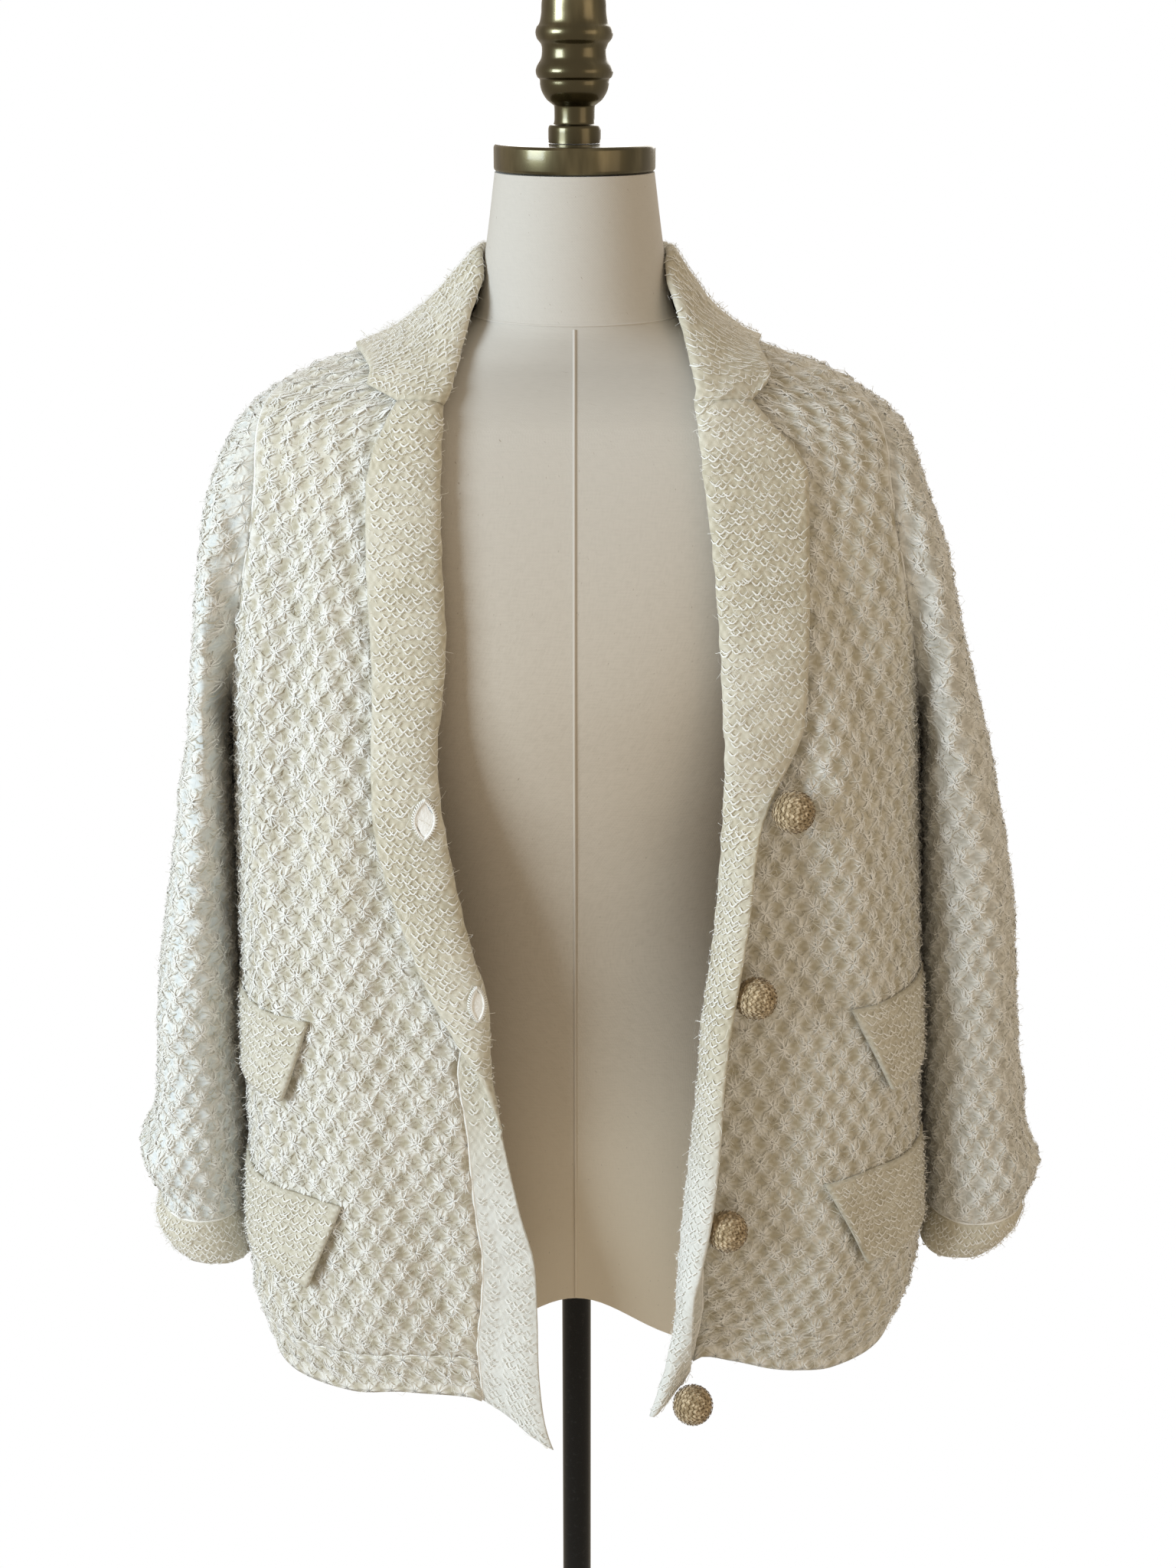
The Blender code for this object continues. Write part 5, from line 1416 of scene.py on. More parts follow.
def sleeve(side, star, plain):
    """A sleeve from the armhole to the cuff, and its cuff band. Gives the sheets of both."""
    word = WORDS[side]
    count_of_rows = len(SLEEVES[side]["outer"])
    rings = np.array([armhole_ring(side)] + [sleeve_ring(side, row) for row in range(count_of_rows)])
    sheets = []
    turn = np.degrees(sleeve_turns())[None, :]
    for rows, count, name, knit, relief in (((0, SLEEVE_ROWS), SLEEVE_GRID, "sleeve", star, star_relief),
                                            ((SLEEVE_ROWS, count_of_rows), CUFF_GRID, "cuff", plain, uneven)):
        outer = smooth_rows(rings, rows, count)
        if name == "cuff":
            outer[0, :, 2] -= CUFF_GAP
        normals = grid_normals(outer, tube=True) * side
        fade = step(ARM_TOP + 0.02, ARM_TOP - 0.06, outer[..., 2])
        outer = outer + normals * (sleeve_folds(side, turn, outer[..., 2]) * fade)[..., None]
        inner = outer - normals * CLOTH
        if name == "cuff":
            outer = outer + normals * (CUFF_ROLL * np.sin(np.linspace(0, np.pi, count)))[:, None, None]
        closed = np.concatenate([outer, outer[:, :1]], axis=1)
        seam_cord(f"{name}_{word}", outer[0] - normals[0] * SEAM_SUNK, closed=True)
        sheets.append(lay(f"cloth_{name}_{word}", outer, inner, knit, f"{name}_{word}", relief,
                          sleeve_chart(side, closed), tube=True))
    return sheets


FLAP_ROWS = 20
FLAP_COLUMNS = 30
FLAP_RIDGE = 0.0042
RIDGE_HIGH = 0.0007
SELVEDGE_HIGH = 0.0010
SELVEDGE_WIDE = 1.6 / 26


def flap(name, knit):
    """A pocket flap in garter knit, sewn along its top and standing a little off the front below."""
    side, top, high, front_top, front_low = FLAPS[name]
    downs = np.linspace(0, 1, FLAP_ROWS)[:, None]
    shares = np.linspace(0, 1, FLAP_COLUMNS)[None, :]
    height = top - high * downs + 0 * shares
    front = front_top + (front_low - front_top) * downs
    angles = FLAP_END + (front - FLAP_END) * shares
    off = FLAP_CLEAR + FLAP_LIFT * downs * (0.15 + 0.85 * shares ** 2)
    outer, inner = cloth(side, angles, height, off + CLOTH), cloth(side, angles, height, off)
    ridges = RIDGE_HIGH * np.sin(downs[..., None] * high / FLAP_RIDGE * 2 * np.pi)
    normals = (outer - inner) / CLOTH
    selvedge = SELVEDGE_HIGH * np.exp(-((1 - shares[..., None]) / SELVEDGE_WIDE) ** 2)
    outer = outer + normals * (ridges * np.clip((1 - shares[..., None]) * 10, 0, 1) + selvedge)
    chart = (run_across(outer), np.broadcast_to(run_down(outer)[:, None], outer.shape[:2]))
    return lay(f"cloth_{name}", outer, inner, knit, name, lambda s, t: 0.0 * s * t, chart)


FORM_LOW = 0.730
FORM_SHOULDER = 1.30
FORM_TOP = 1.4581
FORM_FLAT = 0.840
ROUND_STEPS = 96
FORM_COLUMNS = 96
FORM_ROWS = (96, 46)


def arched(points, heights):
    """The form's points, drawn down towards the arch of its lower edge."""
    low = arch(points[:, 0])
    down = low + (heights - FORM_LOW) / (FORM_FLAT - FORM_LOW) * (FORM_FLAT - low)
    points[:, 2] = np.where(heights < FORM_FLAT, down, points[:, 2])
    return points


def form_cover(linen):
    """The dress form's linen-covered body: smooth rings from the arched lower edge to the top of the neck."""
    angles = np.linspace(0, 180, FORM_COLUMNS // 2 + 1)
    heights = np.concatenate([np.linspace(FORM_LOW, FORM_SHOULDER, FORM_ROWS[0]),
                              np.linspace(FORM_SHOULDER, FORM_TOP, FORM_ROWS[1])[1:]])
    rings = []
    for height in heights:
        halves = [form_face(side, angles, np.full(angles.shape, float(height))) for side in (LEFT, RIGHT)]
        rings.append(arched(np.concatenate([halves[0], halves[1][-2:0:-1]]), height))
    rings = np.array(rings)
    points = rings.reshape(-1, 3)
    count = FORM_COLUMNS
    faces = grid_faces(len(rings), count).tolist()
    sides = len(faces)
    faces.append(list(range(len(points) - count, len(points))))
    middle = count // 2
    for s in range(middle // 2):
        faces.append(tuple(dict.fromkeys([s, s + 1, middle - s - 1, middle - s])))
        faces.append(tuple(dict.fromkeys([(count - s) % count, count - s - 1, middle + s + 1, middle + s])))
    chart = np.stack([run_across(np.concatenate([rings, rings[:, :1]], axis=1)),
                      np.broadcast_to(run_down(rings)[:, None], (len(rings), count + 1))], axis=-1)
    ends = points[[v for face in faces[sides:] for v in face], :2]
    made = mesh_object("linen_body", points, faces, linen,
                       {"cloth": np.concatenate([corner_spots(chart).reshape(-1, 2), ends])})
    with editing(made.data) as work:
        bmesh.ops.recalc_face_normals(work, faces=work.faces)
    made.data.set_sharp_from_angle(angle=np.radians(50))
    stands_for(made, "form_torso")


def tube_along(name, points, radius, finish, slot, closed=False):
    """A round cord through points."""
    curve = bpy.data.curves.new(name, "CURVE")
    curve.dimensions = "3D"
    line = curve.splines.new("POLY")
    line.points.add(len(points) - 1)
    for k, point in enumerate(points):
        line.points[k].co = (*point, 1)
    line.use_cyclic_u = closed
    curve.bevel_depth = radius
    curve.bevel_resolution = 2
    curve.use_fill_caps = not closed
    held = placed(name + "_line", curve)
    bpy.context.view_layer.update()
    mesh = bpy.data.meshes.new_from_object(held.evaluated_get(bpy.context.evaluated_depsgraph_get()))
    bpy.data.objects.remove(held)
    made = placed(name, mesh)
    mesh.shade_smooth()
    mesh.materials.clear()
    mesh.materials.append(finish)
    return dress(made, slot=slot)


def seam_cord(word, points, closed=False):
    """The raised line of yarn along a seam."""
    tube_along(f"seam_{word}", points, SEAM_CORD, finish("plain_strand"), "plain_knit", closed)


NECK_SEAM = 1.3745
CORD_STEPS = 120


def form_seams(linen):
    """The raised cord down the form's front and the sewn line round the base of its neck."""
    heights = np.linspace(NECK_SEAM - 0.002, FORM_LOW + 0.001, CORD_STEPS)
    front = form_face(LEFT, np.full(CORD_STEPS, 180.0), heights)
    front[:, 0] = 0.0
    front = arched(front, heights)
    front[:, 1] -= 0.0002
    tube_along("linen_cord", front, SEAM_CORD, linen, "linen")
    ring = np.array([form_face(LEFT if a <= 180 else RIGHT, min(a, 360 - a), NECK_SEAM)
                     for a in np.linspace(0, 360, FORM_COLUMNS, endpoint=False)])
    tube_along("linen_neck_seam", ring * np.array([1.001, 1.001, 1]), 0.0006, linen, "linen", closed=True)


def turned_piece(name, profile, finish, node, dome=0.0, sharp=40):
    """A turned piece: (radius, height) pairs from top to bottom, closed at the axis and spun round it."""
    profile = [(0, profile[0][1] + dome), *profile, (0, profile[-1][1])]
    bpy.ops.object.select_all(action="DESELECT")
    mesh = bpy.data.meshes.new(name)
    mesh.from_pydata([(r, 0.0, z) for r, z in profile], [(k, k + 1) for k in range(len(profile) - 1)], [])
    made = placed(name, mesh)
    bpy.context.view_layer.objects.active = made
    made.select_set(True)
    bpy.ops.object.mode_set(mode="EDIT")
    bpy.ops.mesh.select_all(action="SELECT")
    bpy.ops.mesh.spin(steps=ROUND_STEPS, angle=2 * np.pi, center=(0, 0, 0), axis=(0, 0, 1))
    bpy.ops.mesh.select_all(action="SELECT")
    bpy.ops.mesh.remove_doubles(threshold=0.00001)
    bpy.ops.mesh.normals_make_consistent(inside=False)
    bpy.ops.object.mode_set(mode="OBJECT")
    mesh.materials.append(finish)
    mesh.shade_smooth()
    mesh.set_sharp_from_angle(angle=np.radians(sharp))
    stands_for(made, node)


def curved_profile(points, steps=6):
    """A profile with smooth turns through its points."""
    points = np.array(points)
    keys = {"key": np.arange(len(points), dtype=float), "r": points[:, 0], "z": points[:, 1]}
    at = np.linspace(0, len(points) - 1, (len(points) - 1) * steps + 1)
    return list(zip(read(keys, "r", at), read(keys, "z", at)))


FINIAL_DOME = 0.0008
POLE_DOWN = 0.0032


def stand(bronze, black):
    """The cap, finial, pole and base."""
    cap = rounded(CAP_RADIUS, NECK_TOP, NECK_TOP + CAP_HIGH, 0.0025, 6)
    turned_piece("lacquered_cap", cap, bronze, "form_neck_cap")
    shape = curved_profile(finial_profile(NECK_TOP + CAP_HIGH + REST_GAP))
    turned_piece("lacquered_finial", shape, bronze, "form_finial", FINIAL_DOME, 60)
    pole = [(POLE_RADIUS, ARCH_TOP - POLE_DOWN), (POLE_RADIUS, BASE_HIGH + REST_GAP)]
    turned_piece("enamelled_pole", pole, black, "stand_pole")
    turned_piece("enamelled_base", rounded(BASE_RADIUS, 0.0, BASE_HIGH, 0.008, 8), black, "stand_base")


BUTTON_TURN = np.radians(35)
BUTTON_SKIN = 0.0008
BUTTON_ROUNDS = 14
BUTTON_LEANS = (-80, 84)
LOOP_WIDE = 0.0030
LOOP_TILT = 9
LOOP_LIFT = 0.0003
LOOP_BOW = 0.0005
LOOP_YARN = 0.00105


def crochet_ball_mesh(node, centre, face, radius, crochet):
    """The ball under a button's loops, a little flatter in front."""
    bpy.ops.object.select_all(action="DESELECT")
    bpy.ops.mesh.primitive_uv_sphere_add(segments=32, ring_count=20, radius=radius, location=centre)
    ball = bpy.context.object
    ball.name = f"ball_{node}"
    ball.data.transform(ball.matrix_world)
    ball.matrix_world.identity()
    for vertex in ball.data.vertices:
        away = np.array(vertex.co) - centre
        lean = float(np.dot(away, face)) / radius
        vertex.co = Vector(centre + away * (1 - 0.05 * max(lean - 0.7, 0) / 0.3))
    ball.data.shade_smooth()
    ball.data.materials.append(crochet)
    stands_for(ball, node)


def button(node, crochet):
    """A ball button in crochet, with its rounds of small loops."""
    low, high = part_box(node)
    centre = np.array((low + high) / 2)
    face = np.array([np.cos(BUTTON_TURN), -np.sin(BUTTON_TURN), 0])
    side_way = np.array([np.sin(BUTTON_TURN), np.cos(BUTTON_TURN), 0])
    up = np.array([0, 0, 1.0])
    radius = BUTTON_RADIUS - BUTTON_SKIN
    crochet_ball_mesh(node, centre, face, radius, crochet)
    shares = np.linspace(0, 1, 5)
    rise = (radius + LOOP_LIFT + LOOP_BOW * np.sin(np.pi * shares))[:, None]
    facings = []
    for ring, lean in enumerate(np.linspace(*BUTTON_LEANS, BUTTON_ROUNDS)):
        around = max(int(2 * np.pi * radius * np.cos(np.radians(lean)) / LOOP_WIDE), 4)
        tilt = np.radians(np.minimum(lean + LOOP_TILT * np.sin(np.pi * shares), 88))[:, None]
        for k in range(around):
            turn = (2 * np.pi * (k + shares + 0.5 * (ring % 2)) / around)[:, None]
            rim = np.cos(tilt) * (side_way * np.cos(turn) + up * np.sin(turn))
            facings.append(rim + face * np.sin(tilt))
    facings = np.array(facings)
    wides = np.full(facings.shape[:2], LOOP_YARN)
    loops = ribbons(f"loops_{node}", centre + facings * rise, facings, wides, crochet,
                    np.zeros((*wides.shape, 2)))
    dress(loops, slot="crochet")


def worked(operation, turned=False):
    """A method that works a number out with the others, or after the other where it is turned."""
    if turned:
        return lambda self, other: self.look.maths(operation, other, self)
    return lambda self, *others: self.look.maths(operation, self, *others)


class Number:
    """A number that varies over a surface, worked with as in plain arithmetic."""

    __add__ = worked("ADD")
    __radd__ = worked("ADD", turned=True)
    __sub__ = worked("SUBTRACT")
    __rsub__ = worked("SUBTRACT", turned=True)
    __mul__ = worked("MULTIPLY")
    __truediv__ = worked("DIVIDE")
    sine = worked("SINE")
    cosine = worked("COSINE")
    whole = worked("ROUND")
    size = worked("ABSOLUTE")

    def __init__(self, look, socket):
        self.look = look
        self.socket = socket

    def between(self, low, high):
        """0 at low, 1 at high, smooth between."""
        return self.look.node("ShaderNodeMapRange", {"interpolation_type": "SMOOTHSTEP"},
                              {0: self, 1: low, 2: high, 3: 0.0, 4: 1.0})


class Look:
    """A material under way: its nodes and the shader that they feed."""

    def __init__(self, name, colour, roughness, constants=None):
        self.material = bpy.data.materials.new(name)
        self.material.use_nodes = True
        self.material.diffuse_color = (*colour, 1)
        self.nodes = self.material.node_tree.nodes
        self.links = self.material.node_tree.links
        self.shader = self.nodes["Principled BSDF"]
        self.put(self.shader.inputs["Base Color"], (*colour, 1))
        self.put(self.shader.inputs["Roughness"], roughness)
        for socket, value in (constants or {}).items():
            self.put(self.shader.inputs[socket], value)

    def put(self, socket, value):
        """Sets a socket to a value, or links it."""
        if isinstance(value, Number):
            self.links.new(value.socket, socket)
        else:
            socket.default_value = value

    def node(self, kind, settings=None, values=None, out=0):
        """Adds a node with its settings and its sockets' values or links, and gives one of its outputs."""
        made = self.nodes.new(kind)
        for name, value in (settings or {}).items():
            setattr(made, name, value)
        for socket, value in (values or {}).items():
            self.put(made.inputs[socket], value)
        return Number(self, made.outputs[out])

    def maths(self, operation, *values):
        """A sum, a product or another working of numbers."""
        return self.node("ShaderNodeMath", {"operation": operation}, dict(enumerate(values)))

    def mixed(self, share, first, second):
        """One colour changing to another."""
        colours = [value if isinstance(value, Number) else (*value, 1) for value in (first, second)]
        return self.node("ShaderNodeMix", {"data_type": "RGBA", "clamp_factor": True},
                         {0: share, 6: colours[0], 7: colours[1]}, out=2)

    def noise(self, place, scale, detail=2.0, stretch=(1, 1, 1)):
        """Soft noise from 0 to 1 at a place."""
        spot = self.node("ShaderNodeMapping", None, {"Vector": place, "Scale": stretch})
        return self.node("ShaderNodeTexNoise", None, {"Vector": spot, "Scale": scale, "Detail": detail})

    def cells(self, place, scale):
        """The distance from the middle of scattered cells."""
        return self.node("ShaderNodeTexVoronoi", {"feature": "F1"}, {"Vector": place, "Scale": scale})

    def part(self, place, which):
        """One of the three coordinates of a place."""
        return self.node("ShaderNodeSeparateXYZ", None, {0: place}, out=which)

    def on_cloth(self, chart="cloth"):
        """The place on the cloth, or along a strand, and its distance across and down."""
        place = self.node("ShaderNodeUVMap", {"uv_map": chart})
        return place, self.part(place, 0), self.part(place, 1)

    def in_space(self):
        """The object's own coordinates."""
        return self.node("ShaderNodeTexCoord", out=3)

    def side(self):
        """The place across the part, from its middle."""
        return self.part(self.in_space(), 0)

    def height(self):
        """The height above the floor."""
        return self.part(self.in_space(), 2)

    def raised(self, height, distance, strength=1.0):
        """A relief on the surface."""
        made = self.node("ShaderNodeBump", None, {"Height": height, "Distance": distance, "Strength": strength})
        self.put(self.shader.inputs["Normal"], made)

    def coloured(self, colour):
        """Gives the surface its colour."""
        self.put(self.shader.inputs["Base Color"], colour)


LINT = (0.98, 0.975, 0.95)
FLECK = (0.26, 0.20, 0.14)
DUST = (0.03, 0.03, 0.03)
FINISHES = {}
FLUFF = {"Sheen Weight": 0.25, "Sheen Roughness": 0.5, "Specular IOR Level": 0.2}


def finish(name):
    """A finish by its name, made the first time that it is asked for."""
    if name not in FINISHES:
        FINISHES[name] = MAKERS[name](bpy.context.scene.cardigan_colours).material
    return FINISHES[name]


def star_field(look):
    """The star knit's pattern: 1 in the middle of a star, -1 in the eyelets between."""
    place, across, down = look.on_cloth()
    row = (down / STAR_HIGH).whole()
    odd = (row * (np.pi / 2)).sine().size()
    shifted = across / STAR_WIDE - odd * 0.5
    a = shifted - shifted.whole()
    b = down / STAR_HIGH - row
    return place, a, b, (a * (2 * np.pi)).cosine() * (b * np.pi).cosine()


def star_ground(name, colours, hole_shade, hole_lit=None):
    """The ground of the star knit: pale where a star is, with painted shade in the eyelets between."""
    look = Look(name, colours.ivory, 0.95, FLUFF)
    place, a, b, lattice = star_field(look)
    patchy = look.noise(look.in_space(), 55.0)
    threads = (look.maths("ARCTAN2", a * 1.3, b) * 9.0 + patchy * 9.0).cosine()
    fuzz = look.noise(place, 900.0, 3.0)
    shade = lattice * 0.55 + threads * 0.12 + patchy * 0.60 + fuzz * 0.30
    # Painted light: where x is below zero, on the key light's side, the shade in the eyelets turns to a
    # lighter, cooler lit copy.
    if hole_lit:
        hole_shade = look.mixed((look.side() * -1.0).between(0.0, 0.1), hole_shade, hole_lit)
    # Painted shade: the eyelets, where the pattern is lowest, take the shade colour.
    colour = look.mixed(shade.between(-0.25, 0.85), hole_shade, colours.ivory)
    tint = look.noise(look.in_space(), 9.0)
    look.coloured(look.mixed(tint.between(0.50, 0.75) * 0.40, colour, colours.beige))
    look.raised(threads * 0.35 + fuzz * 0.3 + lattice * 0.5, 0.0006)
    return look


def star_cloth(colours):
    """The star knit of the fronts, the back and the hem."""
    return star_ground("star_cloth", colours, colours.deep_shade)


def sleeve_cloth(colours):
    """The star knit of the sleeves, with painted shade in their eyelets, which turns to a painted lit copy on
    the key light's side.
    """
    return star_ground("sleeve_cloth", colours, colours.hollow, colours.hollow_lit)


def strand(look, colours, ground, bright, light=None):
    """The colour and roundness of a strand of brushed yarn."""
    across, down = look.on_cloth("strand")[1:]
    round_it = 1 - (across * 2 - 1) * (across * 2 - 1)
    twist = (down * (2 * np.pi / 0.0026) + across * 4).sine()
    patchy = look.noise(look.in_space(), 70.0)
    fuzz = look.noise(look.in_space(), 1400.0, 2.0)
    share = patchy if light is None else patchy * 0.4 + light
    colour = look.mixed(share.between(0.30, 0.66), ground, bright)
    look.coloured(look.mixed(fuzz.between(0.40, 0.75) * 0.25, colour, colours.shade))
    look.raised(round_it * 0.75 + twist * 0.15 + fuzz * 0.30, 0.00018)
    return look


def star_strand(colours):
    """The yarn of the star knit, painted brighter on the stars and darkened with painted shade between them."""
    look = Look("star_strand", colours.ivory, 0.9, FLUFF)
    lattice = star_field(look)[3]
    # Painted shade: away from the middle of a star the yarn turns to the shade colour.
    return strand(look, colours, colours.shade, colours.bright, 0.32 + lattice * 0.26)


def plain_strand(colours):
    """The yarn of the plain knit and of the seams."""
    return strand(Look("plain_strand", colours.bright, 0.9, FLUFF), colours, colours.bright, colours.bright)


def garter_strand(colours):
    """The yarn of the flaps."""
    return strand(Look("garter_strand", colours.cream, 0.9, FLUFF), colours, colours.bright, colours.bright)


def loose_hair(colours):
    """The loose hairs."""
    look = Look("loose_hair", colours.bright, 0.8, FLUFF)
    patchy = look.noise(look.in_space(), 40.0)
    look.coloured(look.mixed(patchy, colours.cream, colours.bright))
    return look


def plain_cloth(colours):
    """The ground of the plain knit: small rounded stitches with painted shade between them, and painted cool
    light on the lower front bands.
    """
    look = Look("plain_cloth", colours.cream, 0.95, FLUFF)
    place, across, down = look.on_cloth()
    patchy = look.noise(look.in_space(), 60.0)
    stitch = (across * (2 * np.pi / PLAIN_WIDE) + patchy * 9.0).cosine()
    stitch = stitch * (down * (np.pi / PLAIN_HIGH)).cosine()
    fuzz = look.noise(place, 1100.0, 3.0)
    warm = look.noise(look.in_space(), 14.0)
    shade = stitch * 0.20 + patchy * 0.6 + fuzz * 0.5
    colour = look.mixed(shade.between(0.20, 1.05), colours.deep_shade, colours.beige)
    colour = look.mixed(warm.between(0.35, 0.65) * 0.3, colour, colours.cream)
    # Painted light: the lower front bands, below 0.95 m and near the middle, are mixed towards a cool white for
    # the key light falling there.
    low = (0.95 - look.height()).between(0.0, 0.13) * (0.24 - look.side().size()).between(0.0, 0.04)
    look.coloured(look.mixed(low * 0.5, colour, colours.white))
    look.raised(stitch * 0.3 + fuzz * 0.5, 0.0003)
    return look


def bright_cloth(colours):
    """The pale cloth that shows through an open buttonhole."""
    look = Look("bright_cloth", colours.bright, 0.95, FLUFF)
    fuzz = look.noise(look.in_space(), 900.0, 3.0)
    look.coloured(look.mixed(fuzz.between(0.35, 0.65), colours.bright, LINT))
    look.raised(fuzz, 0.0004)
    return look


def garter_cloth(colours):
    """The ground of the flaps: close ridges of garter knit, with painted shade between the loops."""
    look = Look("garter_cloth", colours.beige, 0.95, FLUFF)
    place, across, down = look.on_cloth()
    patchy = look.noise(look.in_space(), 80.0)
    ridge = (down * (2 * np.pi / GARTER_HIGH) + patchy * 6.0).cosine()
    loops = (across * (2 * np.pi / GARTER_WIDE)).cosine() * ridge
    fuzz = look.noise(place, 1100.0, 3.0)
    shade = ridge * 0.06 + loops * 0.10 + patchy * 0.6 + fuzz * 0.5
    look.coloured(look.mixed(shade.between(0.1, 1.25), colours.deep_shade, colours.cream))
    look.raised(ridge * 0.3 + loops * 0.3 + fuzz * 0.5, 0.0003)
    return look


def crochet_ball(colours):
    """The crocheted balls of the buttons, with painted shade in the hollows between their loops."""
    look = Look("crochet_ball", colours.crochet, 0.9, FLUFF)
    place = look.in_space()
    bumps = look.cells(place, 330.0)
    fuzz = look.noise(place, 1500.0)
    look.coloured(look.mixed((bumps + fuzz * 0.4).between(0.25, 0.95), colours.crochet, colours.crochet_shade))
    look.raised(fuzz * 0.3 - bumps * 0.8, 0.0010)
    return look


def woven_linen(colours):
    """Plain-woven linen with uneven threads and dark flecks, a painted highlight towards the neck and painted
    warm light low down.
    """
    look = Look("woven_linen", colours.linen, 0.88, {"Sheen Weight": 0.25, "Specular IOR Level": 0.3})
    place, across, down = look.on_cloth()
    slub_across = look.noise(place, 100.0, 3.0, (1.5, 9.0, 1))
    slub_down = look.noise(place, 100.0, 3.0, (9.0, 1.5, 1))
    pitch = 2 * np.pi / LINEN_PITCH
    weave = (across * pitch + slub_down * 2.0).sine() * (down * pitch + slub_across * 2.0).sine()
    cloud = look.noise(look.in_space(), 6.0, 3.0)
    fleck = look.noise(place, 700.0, 2.0, (1.0, 0.4, 1)).between(0.70, 0.78)
    thread = slub_across * 0.5 + slub_down * 0.5 + weave * 0.05
    colour = look.mixed(thread.between(0.30, 0.62), colours.linen_dark, colours.linen)
    colour = look.mixed(cloud.between(0.35, 0.7) * 0.20, colour, colours.linen_dark)
    # Painted highlight: from 1.08 m up the linen turns towards a paler tone, for the glare of the key light on
    # the neck.
    colour = look.mixed(look.height().between(1.08, 1.40) * 0.60, colour, colours.linen_painted_highlight)
    # Painted light: below 0.98 m the linen turns warmer and lighter, for the warm light that falls low on the
    # form.
    colour = look.mixed((0.98 - look.height()).between(0.0, 0.25) * 0.8, colour, colours.linen_painted_warm_light)
    look.coloured(look.mixed(fleck * 0.6, colour, FLECK))
    look.raised(weave * 0.5 + thread * 0.1, 0.00008)
    return look


def olive_bronze(colours):
    """Dark olive-bronze lacquer with rubbed streaks."""
    look = Look("olive_bronze", colours.bronze, 0.25,
                {"Metallic": 1.0, "Coat Roughness": 0.12, "Coat Weight": 0.6})
    place = look.in_space()
    streak = look.noise(place, 40.0, 4.0, (1, 1, 0.22))
    cloud = look.noise(place, 22.0, 3.0)
    look.coloured(look.mixed(streak.between(0.38, 0.66), colours.bronze, colours.bronze_light))
    look.put(look.shader.inputs["Roughness"], 0.20 + cloud * 0.22)
    look.raised(cloud * 0.6 + streak * 0.3, 0.0002, 0.5)
    return look


def gloss_black(colours):
    """Black enamel with the faintest unevenness."""
    look = Look("gloss_black", colours.black, 0.12,
                {"Coat Weight": 0.15, "Coat Roughness": 0.03, "Specular IOR Level": 0.2})
    place = look.in_space()
    dust = look.noise(place, 300.0, 3.0)
    wave = look.noise(place, 18.0)
    look.put(look.shader.inputs["Roughness"], 0.10 + dust * 0.08)
    look.coloured(look.mixed(dust.between(0.55, 0.8) * 0.5, colours.black, DUST))
    look.raised(wave, 0.0003, 0.3)
    return look


def pale_floor(colours):
    """The floor, with the faintest cloud."""
    look = Look("pale_floor", colours.floor, 0.9, {"Specular IOR Level": 0.1})
    cloud = look.noise(look.in_space(), 0.7)
    look.coloured(look.mixed(cloud, colours.floor, tuple(0.985 * c for c in colours.floor)))
    return look


MAKERS = {maker.__name__: maker for maker in (
    star_cloth, sleeve_cloth, plain_cloth, bright_cloth, garter_cloth, star_strand, plain_strand, garter_strand,
    loose_hair, crochet_ball, woven_linen, olive_bronze, gloss_black, pale_floor)}


def colour_property(name, description, default):
    """A colour that can be changed in the panel."""
    return FloatVectorProperty(name=name, description=description, subtype="COLOR", size=3, min=0.0, max=1.0,
                               default=default)


class CardiganColours(PropertyGroup):
    """The colours of the finishes"""

    bright: colour_property("Bright yarn", "The brushed tops of the stitches", (0.97, 0.962, 0.93))
    ivory: colour_property("Ivory", "The body and sleeves", (0.89, 0.875, 0.82))
    cream: colour_property("Cream", "The bands, collar and cuffs", (0.86, 0.84, 0.76))
    beige: colour_property("Beige", "Warmer patches of the knit", (0.76, 0.71, 0.58))
    shade: colour_property("Shade", "Between the stitches", (0.58, 0.545, 0.44))
    # Painted shade: the dark in the eyelets of the star knit and in the gaps between plain and garter stitches.
    deep_shade: colour_property("Eyelet", "The deep holes of the star knit", (0.50, 0.455, 0.34))
    # Painted shade in the sleeves' eyelets, and its painted lit copy for the sleeve in the key light.
    hollow: colour_property("Hollow", "The holes of the shaded sleeve", (0.55, 0.53, 0.47))
    hollow_lit: colour_property("Lit hollow", "The holes of the sleeve in the key light", (0.74, 0.79, 0.80))
    # Painted cool light on the lower front bands.
    white: colour_property("White", "The lower parts of the front bands", (0.90, 0.94, 0.97))
    crochet: colour_property("Buttons", "The crocheted buttons", (0.80, 0.65, 0.44))
    # Painted shade between the loops of the buttons.
    crochet_shade: colour_property("Buttons, between", "Between the loops of the buttons", (0.34, 0.25, 0.14))
    linen: colour_property("Linen", "The cover of the form", (0.60, 0.53, 0.44))
    # Painted highlight: the paler linen of the neck is the glare of the light, painted into the colour.
    linen_painted_highlight: colour_property("Pale linen", "The cover of the neck, bleached", (0.66, 0.65, 0.62))
    # Painted warm light on the lower form.
    linen_painted_warm_light: colour_property("Warm linen", "The cover towards the hem", (0.80, 0.69, 0.53))
    linen_dark: colour_property("Linen threads", "The darker threads of the cover", (0.53, 0.465, 0.38))
    bronze: colour_property("Bronze", "The cap and finial", (0.10, 0.085, 0.045))
    bronze_light: colour_property("Rubbed bronze", "Where the lacquer is rubbed", (0.26, 0.225, 0.13))
    black: colour_property("Enamel", "The pole and base", (0.006, 0.006, 0.006))
    floor: colour_property("Floor", "The floor around the stand", (0.90, 0.90, 0.90))


